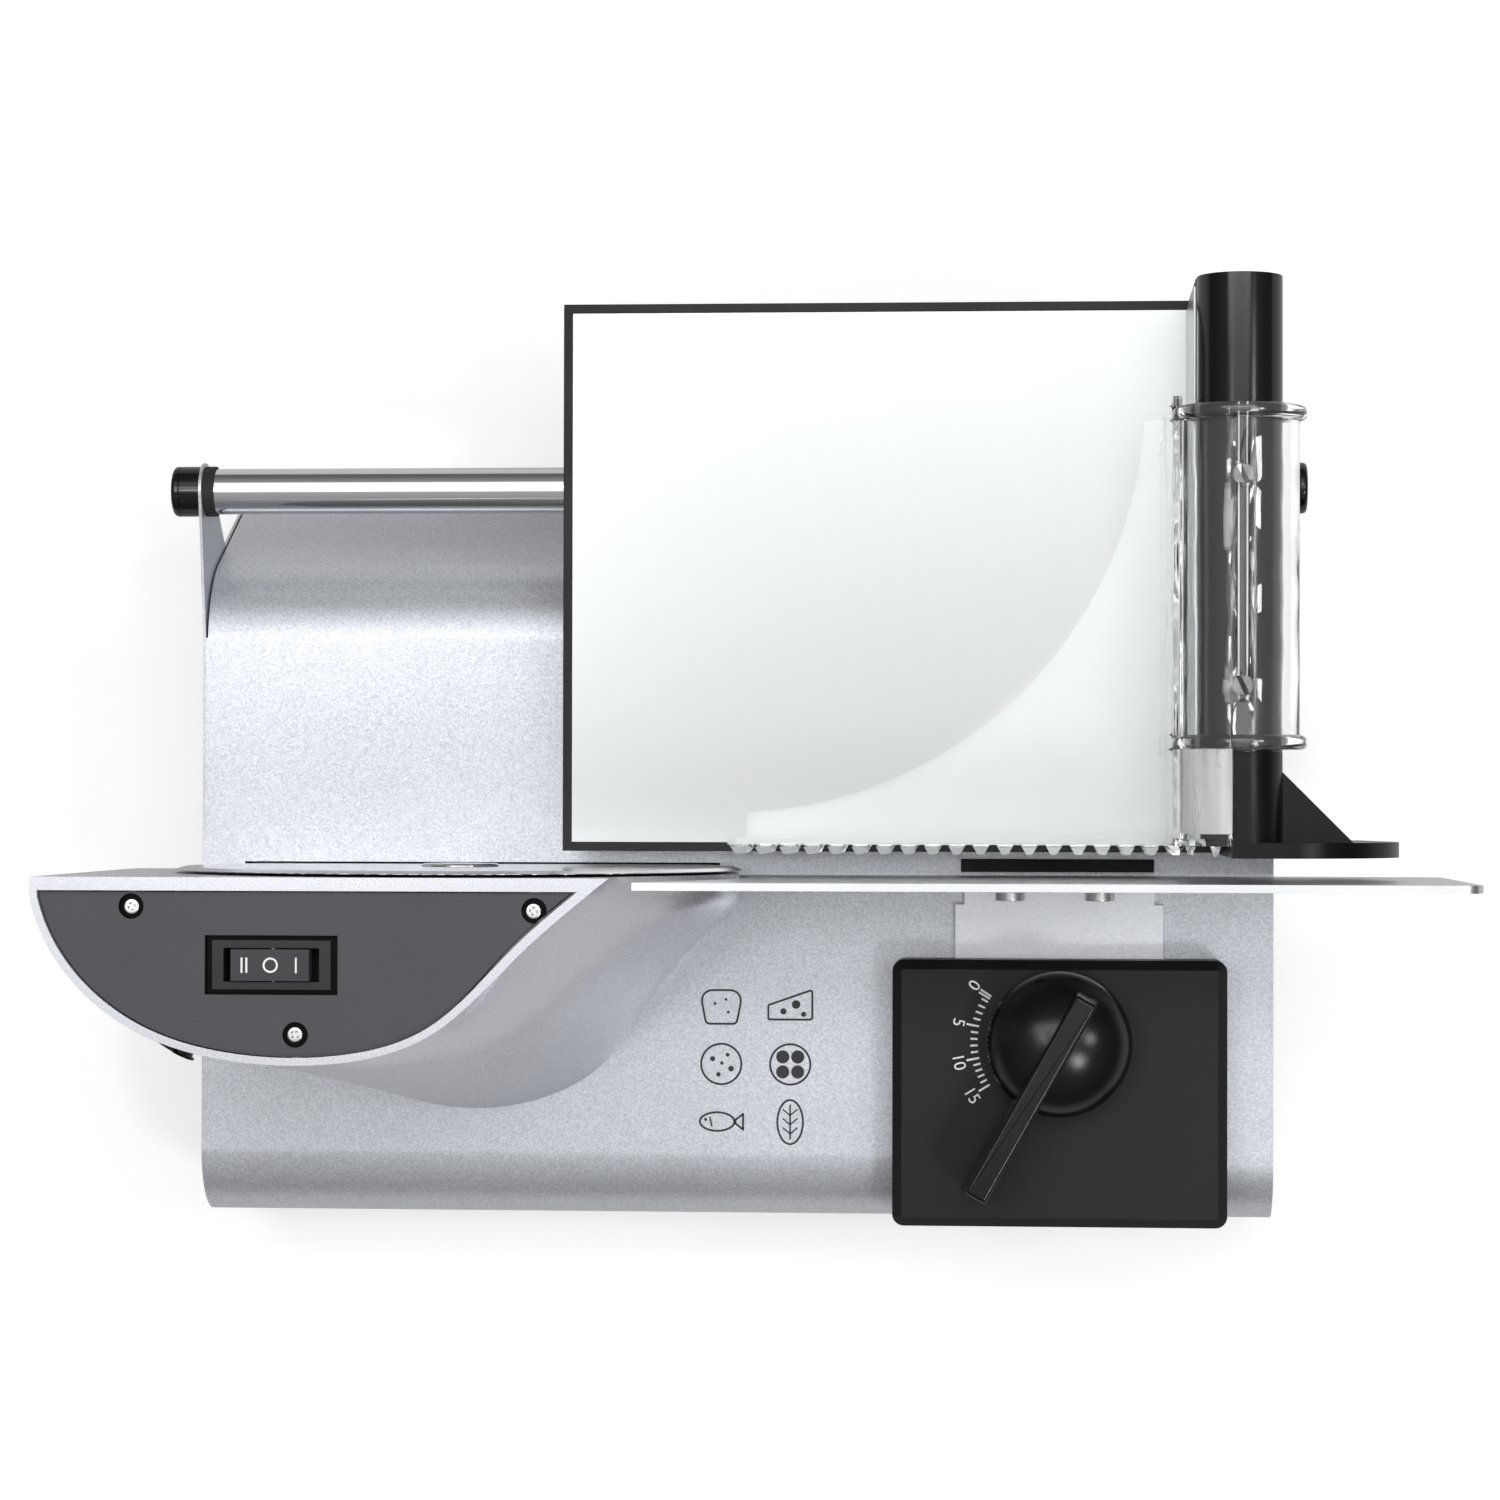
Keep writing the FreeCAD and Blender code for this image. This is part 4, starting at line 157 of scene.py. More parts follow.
# Panel details, in millimetres; the recess's length is given in radii of the head, its taper in
# shares of its length and width, and the turns of the heads in degrees
HEAD_HEIGHT = 1.15
HEAD_ROUND = 0.6
HEADS_APART = 8.0
HEAD_TURN = 20
HEAD_TURN_STEP = 31
RECESS_LENGTH = 1.4
RECESS_WIDTH = 1.05
RECESS_DEPTH = 0.8
RECESS_TAPER = (0.5, 0.6, 1.0)
GLAND_TIP = 4.3
GLAND_SHORTER = 4.2
SCREW_SUNK = 0.1
# The black pieces in the screw wells are painted shade that darkens the wells
WELL_RADIUS = 3.95
WELL_DEPTH = 1.15
LIP_DROP = 0.04
LIP_WALL = 0.25
LIP_FLOOR = 0.12
# The black ring in the gap round the switch is painted shade that darkens the gap
GAP_SHADE_SIZE = (41.8, 18.4, 1.33)
GAP_SHADE_EASE = 0.1
GAP_SHADE_CUT = 4.0

# Knob, in millimetres from its axis and its foot
KNOB_RADIUS = 24.6
KNOB_SKIRT = 13.0
KNOB_HEIGHT = 30.0
KNOB_FOOT_ROUND = 0.5
GRIP_FOOT = (-22.0, 59.6)
GRIP_TOP = (-18.0, 57.6)
GRIP_WIDTHS = (10.2, 7.9)
GRIP_LEVELS = (9.0, 33.0)
GRIP_SIDE_ROUND = 0.9
GRIP_TOP_ROUND = 1.25
GRIP_ANGLE = 240.6

# Patterns of the finishes, in millimetres. Nearly all values of a noise lie between its two limits.
NOISE_LOW = 0.3
NOISE_HIGH = 0.7
COAT_CLOUD = 70.0
COAT_THIN = 0.95
COAT_PEEL = 1.6
COAT_PEEL_HEIGHT = 0.012
COAT_ROUGHNESS = 0.12
FLAKE_SHINE = (-0.06, 0.08)
HANDLED = 28.0
HANDLED_TONES = (0.88, 1.12)
PLASTIC_IOR = 1.53
TOUCHED = 24.0
TOUCHED_TONE = 0.985
RING_SPACE = 0.35
RING_HEIGHT = 0.0025

# Clear holder, in millimetres. Reaches are distances from the tube's axis. Milk is the share of
# light that a satin place scatters, and at full milk the place is as rough as satin gets.
FLOW = 9.0
FLOW_HEIGHT = 0.02
SLEEVE_WAVE = 52.4
SLEEVE_SINK = 11.0
SLEEVE_SINK_SHARE = 0.45
SLEEVE_HEIGHT = 0.62
SLEEVE_REACH = (19.6, 21.0)
RIB_SIDE = (2.0, 3.6)
LEG_MILK = (0.16, 0.52)
LEG_LIMITS = (0.35, 0.65)
LEG_REACH = (16.0, 20.0)
LEG_LENGTH = 27.0
LEG_STREAK = 3.4
LEG_STRETCH = 30.0
# Milk on the rib's edges is a painted highlight: it whitens the lines where light catches them
RIB_EDGE_HIGHLIGHT_MILK = 0.6
EDGE_REACH = (20.6, 21.4)
EDGE_SIDE = (1.15, 1.6)
BOSS_MILK = 0.2
BOSS_REACH = (21.9, 23.0)
INNER_START = 8.0
BAND_FADE = 0.1
FULL_MILK = 0.3
GLOSS_ROUGHNESS = 0.02
SATIN_ROUGHNESS = 0.3
SAN_IOR = 1.5
SAN_GLOSS = 0.32
CLEAR_SHADOW = 0.98


# Small tools

def srgb(code):
    """Linear colour of a web colour such as #B9BCC3."""
    values = [int(code[index:index + 2], 16) / 255 for index in (1, 3, 5)]
    return tuple(value / 12.92 if value <= 0.04045 else ((value + 0.055) / 1.055) ** 2.4
                 for value in values) + (1.0,)


def pick(obj):
    """Make one object the only selected and the active one."""
    bpy.ops.object.select_all(action="DESELECT")
    obj.select_set(True)
    bpy.context.view_layer.objects.active = obj


def begin(primitive, **settings):
    """Add a primitive while nothing else is selected."""
    bpy.ops.object.select_all(action="DESELECT")
    primitive(**settings)
    return bpy.context.object


def edit(obj):
    """Open a piece in edit mode with nothing selected."""
    pick(obj)
    bpy.ops.object.mode_set(mode="EDIT")
    bpy.ops.mesh.select_all(action="DESELECT")


def close():
    """Leave edit mode."""
    bpy.ops.object.mode_set(mode="OBJECT")


def choose(obj, kind, test):
    """Select in edit mode the faces, edges or vertices that pass a test."""
    bpy.ops.mesh.select_mode(type={"faces": "FACE", "edges": "EDGE", "verts": "VERT"}[kind])
    bpy.ops.mesh.select_all(action="DESELECT")
    mesh = bmesh.from_edit_mesh(obj.data)
    mesh.normal_update()
    for item in getattr(mesh, kind):
        item.select_set(bool(test(item)))
    mesh.select_flush_mode()
    bmesh.update_edit_mesh(obj.data)


def finish_modifier(obj, kind, **settings):
    """Add a modifier and apply it."""
    pick(obj)
    modifier = obj.modifiers.new(kind.title(), kind)
    for name, value in settings.items():
        setattr(modifier, name, value)
    bpy.ops.object.modifier_apply(modifier=modifier.name)


def settle(obj):
    """Put an object's place, turn and size in its mesh."""
    pick(obj)
    bpy.ops.object.transform_apply(location=True, rotation=True, scale=True)


def join(pieces, name):
    """Join several meshes into one piece."""
    pick(pieces[0])
    for piece in pieces:
        piece.select_set(True)
    bpy.ops.object.join()
    joined = bpy.context.view_layer.objects.active
    joined.name = name
    joined.data.name = name
    settle(joined)
    return joined


def dress(obj, slot, body, material=None, nodes=()):
    """Give a piece its finish, by default that of a slot in the record, and the body that it moves
    with.
    """
    obj.data.materials.clear()
    obj.data.materials.append(material or finish(slot))
    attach(obj, body)
    if nodes:
        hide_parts(*nodes)
    return obj


def smooth(obj, angle=30.0):
    """Shade a piece smooth except at edges sharper than an angle."""
    pick(obj)
    bpy.ops.object.shade_smooth_by_angle(angle=math.radians(angle))


def skin(node, angle=32.0, bevel=0.0, segments=2, material=None, shape=None):
    """Closed, smooth copy of a frame node with softened edges, which stands for the node."""
    source = NODES[node]
    obj = bpy.data.objects.new(node + "_skin", source.data.copy())
    bpy.context.scene.collection.objects.link(obj)
    edit(obj)
    bpy.ops.mesh.select_all(action="SELECT")
    bpy.ops.mesh.remove_doubles(threshold=SKIN_MERGE * MM)
    bpy.ops.mesh.dissolve_limited(angle_limit=math.radians(SKIN_FLAT))
    if shape:
        shape(obj)
    close()
    if bevel:
        finish_modifier(obj, "BEVEL", width=bevel * MM, segments=segments, limit_method="ANGLE",
                        angle_limit=math.radians(angle))
    smooth(obj, angle)
    finish_modifier(obj, "WEIGHTED_NORMAL", keep_sharp=True, weight=SKIN_WEIGHT)
    return dress(obj, SLOT_OF[node], source["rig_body"], material, (node,))


def paint(*nodes):
    """Give frame nodes that keep their shape a better finish."""
    for node in nodes:
        for slot in NODES[node].material_slots:
            slot.material = finish(SLOT_OF[node])


def chosen(name):
    """A size that the user sets, in millimetres."""
    return getattr(bpy.context.scene.slicer_sizes, name) / MM


def words(text, size):
    """Flat lettering as a thin mesh at the origin, centred."""
    obj = begin(bpy.ops.object.text_add)
    obj.data.body = text
    obj.data.align_x = "CENTER"
    obj.data.align_y = "CENTER"
    obj.data.size = size * MM
    obj.data.extrude = PRINT_THICK * MM / 2
    bpy.ops.object.convert(target="MESH")
    return bpy.context.object


def bar(width, length, place, turn):
    """Flat printed stroke with softened ends."""
    obj = begin(bpy.ops.mesh.primitive_cube_add, size=1.0)
    obj.scale = (width * MM, length * MM, PRINT_THICK * MM)
    bpy.ops.object.transform_apply(location=False, rotation=False, scale=True)
    edit(obj)
    choose(obj, "edges", lambda edge: abs(edge.verts[0].co.z - edge.verts[1].co.z) > HAIR)
    bpy.ops.mesh.bevel(offset=width * STROKE_ROUND * MM, segments=2)
    close()
    obj.rotation_euler = (0.0, 0.0, turn)
    obj.location = place
    settle(obj)
    return obj


def ring(radius, stroke, place, vertices=40, squash=(1.0, 1.0)):
    """Flat printed ring, or a dot where the stroke is the whole radius."""
    obj = begin(bpy.ops.mesh.primitive_circle_add, vertices=vertices, radius=radius * MM,
                fill_type="NGON")
    edit(obj)
    bpy.ops.mesh.select_all(action="SELECT")
    bpy.ops.transform.resize(value=(squash[0], squash[1], 1.0))
    if stroke < radius:
        bpy.ops.mesh.inset(thickness=stroke * MM)
        bpy.ops.mesh.delete(type="FACE")
    close()
    finish_modifier(obj, "SOLIDIFY", thickness=PRINT_THICK * MM, offset=0.0)
    obj.location = place
    settle(obj)
    return obj


def block(length, width, height, place, name="block"):
    """Box of a size in millimetres, its top's middle at a place in metres."""
    obj = begin(bpy.ops.mesh.primitive_cube_add, size=1.0)
    obj.name = name
    obj.scale = (length * MM, width * MM, height * MM)
    obj.location = Vector(place) - Vector((0.0, 0.0, height * MM / 2))
    settle(obj)
    return obj


def sink(obj, wall, depth):
    """Sink a piece's top face inside a lip of some millimetres."""
    edit(obj)
    choose(obj, "faces", lambda face: face.normal.z > 0.9)
    bpy.ops.mesh.inset(thickness=wall * MM)
    bpy.ops.mesh.extrude_region_move(TRANSFORM_OT_translate={"value": (0.0, 0.0, -depth * MM)})
    close()


def combine(obj, tools, operation):
    """Join tools to a piece or cut them from it, and remove the tools."""
    for tool in tools:
        finish_modifier(obj, "BOOLEAN", operation=operation, object=tool, solver="EXACT")
        bpy.data.objects.remove(tool)


# Finishes

def add(tree, kind, inputs=None, **settings):
    """Add a shader node with its settings, values and links."""
    node = tree.nodes.new("ShaderNode" + kind)
    for name, value in settings.items():
        setattr(node, name, value)
    for key, value in (inputs or {}).items():
        if isinstance(value, bpy.types.NodeSocket):
            tree.links.new(value, node.inputs[key])
        else:
            node.inputs[key].default_value = value
    return node


def pattern(tree, kind, size, stretch=(1.0, 1.0, 1.0), inputs=None, **settings):
    """Texture on object coordinates, its cells size millimetres wide, longer where stretched."""
    place = add(tree, "TexCoord")
    scale = tuple(1.0 / (size * MM * share) for share in stretch)
    spread = add(tree, "Mapping", {"Vector": place.outputs["Object"], "Scale": scale})
    values = {"Vector": spread.outputs["Vector"], "Scale": 1.0}
    values.update(inputs or {})
    return add(tree, "Tex" + kind, values, **settings)


def colours_of(sockets):
    """The colour sockets among a Mix node's many."""
    return [socket for socket in sockets if socket.type == "RGBA"]


def blend_colours(tree, share, first, second, low=NOISE_LOW, high=NOISE_HIGH):
    """Colour that goes from the first to the second as a pattern's value goes from low to high."""
    spread = add(tree, "MapRange", {"Value": share, "From Min": low, "From Max": high})
    mix = add(tree, "Mix", {"Factor": spread.outputs["Result"]}, data_type="RGBA")
    for socket, value in zip(colours_of(mix.inputs), (first, second)):
        if isinstance(value, bpy.types.NodeSocket):
            tree.links.new(value, socket)
        else:
            socket.default_value = value
    return colours_of(mix.outputs)[0]


def toned(colour, share):
    """A colour made darker or lighter, no brighter than white."""
    return tuple(min(1.0, share * part) for part in colour[:3]) + (1.0,)


def new_finish(name):
    """A material with an empty node tree."""
    material = bpy.data.materials.new(name)
    material.use_nodes = True
    material.node_tree.nodes.clear()
    return material, material.node_tree


def shade(tree, inputs):
    """Principled surface and the output."""
    surface = add(tree, "BsdfPrincipled", inputs)
    add(tree, "OutputMaterial", {"Surface": surface.outputs["BSDF"]})


def about_axis(tree, joint):
    """Offset of a place from a joint's axis along Y, and its distance from that axis."""
    axis = PIVOT[joint]
    place = add(tree, "TexCoord")
    offset = add(tree, "VectorMath", {0: place.outputs["Object"], 1: (axis.x, 0.0, axis.z)},
                 operation="SUBTRACT")
    flat = add(tree, "VectorMath", {0: offset.outputs["Vector"], 1: (1.0, 0.0, 1.0)},
               operation="MULTIPLY")
    reach = add(tree, "VectorMath", {0: flat.outputs["Vector"]}, operation="LENGTH")
    return offset.outputs["Vector"], reach.outputs["Value"]


def flake_coat(name, dark, light, flake, metallic, roughness, coat, glint=0.018):
    """Silver stoving or powder coat on steel: aluminium flakes in a resin that flowed with a fine
    orange peel, so that the surface sparkles and its highlights have soft edges."""
    material, tree = new_finish(name)
    flakes = pattern(tree, "Voronoi", flake, feature="F1")
    chance = add(tree, "SeparateColor", {"Color": flakes.outputs["Color"]})
    cloud = pattern(tree, "Noise", COAT_CLOUD, inputs={"Detail": 2.0})
    base = blend_colours(tree, chance.outputs["Red"], dark, light, 0.0, 1.0)
    white = (1.0, 1.0, 1.0, 1.0)
    tone = blend_colours(tree, cloud.outputs["Fac"], toned(white, COAT_THIN), white, 0.35, 0.65)
    colour = add(tree, "Mix", data_type="RGBA", blend_type="MULTIPLY")
    colour.inputs["Factor"].default_value = 1.0
    for value, socket in zip((base, tone), colours_of(colour.inputs)):
        tree.links.new(value, socket)
    peel = pattern(tree, "Noise", COAT_PEEL, inputs={"Detail": 3.0})
    relief = add(tree, "Bump", {"Height": peel.outputs["Fac"], "Strength": 1.0,
                                "Distance": COAT_PEEL_HEIGHT * MM})
    sparkle = add(tree, "Bump", {"Height": chance.outputs["Green"], "Strength": 1.0,
                                 "Distance": glint * flake * MM,
                                 "Normal": relief.outputs["Normal"]})
    shine = add(tree, "MapRange", {"Value": chance.outputs["Blue"],
                                   "To Min": roughness + FLAKE_SHINE[0],
                                   "To Max": roughness + FLAKE_SHINE[1]})
    shade(tree, {"Base Color": colours_of(colour.outputs)[0], "Metallic": metallic,
                 "Roughness": shine.outputs["Result"], "Coat Weight": coat,
                 "Coat Roughness": COAT_ROUGHNESS, "Normal": sparkle.outputs["Normal"]})
    return material


def powder_coat():
    """The base's coat, in the user's colours."""
    colours = bpy.context.scene.slicer_colours
    return flake_coat("powder_coat_silver", tuple(colours.coat_dark) + (1.0,),
                      tuple(colours.coat_light) + (1.0,), flake=0.42, metallic=0.55,
                      roughness=0.36, coat=0.15)


def moulded(name, colour, grain, depth, roughness, spread=0.06, gloss=0.5):
    """Injection-moulded plastic: a spark-eroded mould leaves a fine grain, and handling leaves
    slightly shinier and duller areas."""
    material, tree = new_finish(name)
    fine = pattern(tree, "Noise", grain, inputs={"Detail": 4.0, "Roughness": 0.6})
    worn = pattern(tree, "Noise", HANDLED, inputs={"Detail": 3.0})
    shine = add(tree, "MapRange", {"Value": worn.outputs["Fac"], "From Min": NOISE_LOW,
                                   "From Max": NOISE_HIGH, "To Min": roughness - spread,
                                   "To Max": roughness + spread})
    relief = add(tree, "Bump", {"Height": fine.outputs["Fac"], "Strength": 1.0,
                                "Distance": depth * MM})
    dark, light = (toned(srgb(colour), share) for share in HANDLED_TONES)
    shade(tree, {"Base Color": blend_colours(tree, fine.outputs["Fac"], dark, light),
                 "Roughness": shine.outputs["Result"], "IOR": PLASTIC_IOR,
                 "Specular IOR Level": gloss, "Normal": relief.outputs["Normal"]})
    return material


def worked_metal(name, colour, streak, roughness, depth, stretch=(1.0, 1.0, 1.0), smudge=0.05,
                 dull=0.9):
    """Bare or plated metal that a belt, brush or tool left with fine parallel lines, a little
    duller where it was touched."""
    material, tree = new_finish(name)
    lines = pattern(tree, "Noise", streak, stretch, {"Detail": 3.0, "Roughness": 0.7})
    touch = pattern(tree, "Noise", TOUCHED, inputs={"Detail": 2.0})
    shine = add(tree, "MapRange", {"Value": touch.outputs["Fac"], "To Min": roughness - smudge,
                                   "To Max": roughness + 2 * smudge})
    bare = srgb(colour)
    streaked = blend_colours(tree, lines.outputs["Fac"], toned(bare, dull), bare)
    tone = blend_colours(tree, touch.outputs["Fac"], streaked, toned(bare, TOUCHED_TONE), 0.0, 1.0)
    relief = add(tree, "Bump", {"Height": lines.outputs["Fac"], "Strength": 1.0,
                                "Distance": depth * MM})
    shade(tree, {"Base Color": tone, "Metallic": 1.0, "Roughness": shine.outputs["Result"],
                 "Normal": relief.outputs["Normal"]})
    return material


def cutting_steel():
    """Hardened stainless steel, ground on a turning table: fine rings about the blade's axis. The
    real rings are too fine to show, so they are drawn wider."""
    material, tree = new_finish("cutting_steel")
    reach = about_axis(tree, "blade_spin")[1]
    rings = add(tree, "TexNoise", {"W": reach, "Scale": 1.0 / (RING_SPACE * MM), "Detail": 3.0},
                noise_dimensions="1D")
    tone = blend_colours(tree, rings.outputs["Fac"], srgb("#C2C4C6"), srgb("#D9DADB"))
    relief = add(tree, "Bump", {"Height": rings.outputs["Fac"], "Strength": 1.0,
                                "Distance": RING_HEIGHT * MM})
    shade(tree, {"Base Color": tone, "Metallic": 1.0, "Roughness": 0.2,
                 "Normal": relief.outputs["Normal"]})
    return material


def band(tree, value, limits, start=0.0, level=1.0):
    """A level where a value lies between two limits in millimetres from a start in metres, and
    nothing elsewhere."""
    low, high = (start + limit * MM for limit in limits)
    offset = add(tree, "Math", {0: value, 1: (low + high) / 2}, operation="SUBTRACT")
    away = add(tree, "Math", {0: offset.outputs[0]}, operation="ABSOLUTE")
    fade = add(tree, "MapRange", {"Value": away.outputs[0], "From Min": (high - low) / 2,
                                  "From Max": (high - low) / 2 + BAND_FADE * MM,
                                  "To Min": level, "To Max": 0.0})
    return fade.outputs["Result"]


def masked(tree, value, *masks):
    """A value that is left only where all its masks are."""
    for mask in masks:
        value = add(tree, "Math", {0: value, 1: mask}, operation="MULTIPLY").outputs[0]
    return value


def sleeve_waves(tree, parts, aside, reach):
    """Long moulding waves with short sinks among them, on the sleeve and off its rib. The two sides
    of the rib stand a quarter of a wave apart."""
    sleeve = add(tree, "MapRange", {"Value": reach, "From Min": SLEEVE_REACH[0] * MM,
                                    "From Max": SLEEVE_REACH[1] * MM, "To Min": 1.0,
                                    "To Max": 0.0})
    off_rib = add(tree, "MapRange", {"Value": aside, "From Min": RIB_SIDE[0] * MM,
                                     "From Max": RIB_SIDE[1] * MM})
    right = add(tree, "Math", {0: parts["X"], 1: 0.0}, operation="GREATER_THAN")
    turn = add(tree, "Math", {0: parts["Y"], 1: 2.0 * math.pi / (SLEEVE_WAVE * MM)},
               operation="MULTIPLY")
    phase = add(tree, "Math", {0: right.outputs[0], 1: math.pi / 2, 2: turn.outputs[0]},
                operation="MULTIPLY_ADD")
    wave = add(tree, "Math", {0: phase.outputs[0]}, operation="SINE")
    sink = pattern(tree, "Noise", SLEEVE_SINK, inputs={"Detail": 0.0})
    height = add(tree, "Math", {0: sink.outputs["Fac"], 1: SLEEVE_SINK_SHARE, 2: wave.outputs[0]},
                 operation="MULTIPLY_ADD")
    return masked(tree, height.outputs[0], sleeve.outputs["Result"], off_rib.outputs["Result"])


def satin_places(tree, parts, aside, reach):
    """Milk of the places that look satin: the leg in streaks, and above the sleeve's lower end the
    tops of the bosses and the edges of the rib, where the milk is a painted highlight of the bright
    lines on them."""
    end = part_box("guide_liners")[0].y
    streaks = pattern(tree, "Noise", LEG_STREAK, (1.0, LEG_STRETCH, 1.0), {"Detail": 0.0})
    streaky = add(tree, "MapRange", {"Value": streaks.outputs["Fac"], "From Min": LEG_LIMITS[0],
                                     "From Max": LEG_LIMITS[1], "To Min": LEG_MILK[0],
                                     "To Max": LEG_MILK[1]})
    above = add(tree, "Math", {0: parts["Z"], 1: 0.0}, operation="GREATER_THAN")
    leg = masked(tree, streaky.outputs["Result"], band(tree, reach, LEG_REACH),
                 band(tree, parts["Y"], (-LEG_LENGTH, 0.0), end), above.outputs[0])
    # The rib's edges: their milk is a painted highlight
    edges = masked(tree, band(tree, reach, EDGE_REACH, level=RIB_EDGE_HIGHLIGHT_MILK),
                   band(tree, aside, EDGE_SIDE))
    raised = add(tree, "Math", {0: edges, 1: band(tree, reach, BOSS_REACH, level=BOSS_MILK)})
    inner = add(tree, "MapRange", {"Value": parts["Y"], "From Min": end + INNER_START * MM,
                                   "From Max": end + (INNER_START + BAND_FADE) * MM})
    return add(tree, "Math", {0: leg, 1: masked(tree, raised.outputs[0],
                                                inner.outputs["Result"])}).outputs[0]


def clear_san():
    """Clear styrene acrylonitrile, moulded glossy: it bends light a little more than glass, has a
    faint cold tint in its edges, and lets lamps through."""
    material, tree = new_finish("san_clear")
    offset, reach = about_axis(tree, "holder_swing")
    parts = add(tree, "SeparateXYZ", {"Vector": offset}).outputs
    aside = add(tree, "Math", {0: parts["X"]}, operation="ABSOLUTE").outputs[0]
    flow = pattern(tree, "Noise", FLOW, inputs={"Detail": 2.0}).outputs["Fac"]
    waves = add(tree, "Bump", {"Height": sleeve_waves(tree, parts, aside, reach),
                               "Distance": SLEEVE_HEIGHT * MM, "Strength": 1.0})
    relief = add(tree, "Bump", {"Height": flow, "Distance": FLOW_HEIGHT * MM, "Strength": 1.0,
                                "Normal": waves.outputs["Normal"]})
    milk = satin_places(tree, parts, aside, reach)
    clearness = add(tree, "Math", {0: 1.0, 1: milk}, operation="SUBTRACT")
    dullness = add(tree, "MapRange", {"Value": milk, "From Max": FULL_MILK,
                                      "To Min": GLOSS_ROUGHNESS, "To Max": SATIN_ROUGHNESS})
    plastic = add(tree, "BsdfPrincipled", {
        "Base Color": blend_colours(tree, flow, srgb("#FBFDFD"), srgb("#FEFEFE")),
        "Roughness": dullness.outputs["Result"], "IOR": SAN_IOR,
        "Transmission Weight": clearness.outputs[0], "Specular IOR Level": SAN_GLOSS,
        "Normal": relief.outputs["Normal"]})
    clear = add(tree, "BsdfTransparent", {"Color": (CLEAR_SHADOW,) * 3 + (1.0,)})
    path = add(tree, "LightPath")
    mix = add(tree, "MixShader", {0: path.outputs["Is Shadow Ray"], 1: plastic.outputs["BSDF"],
                                  2: clear.outputs["BSDF"]})
    add(tree, "OutputMaterial", {"Surface": mix.outputs["Shader"]})
    return material


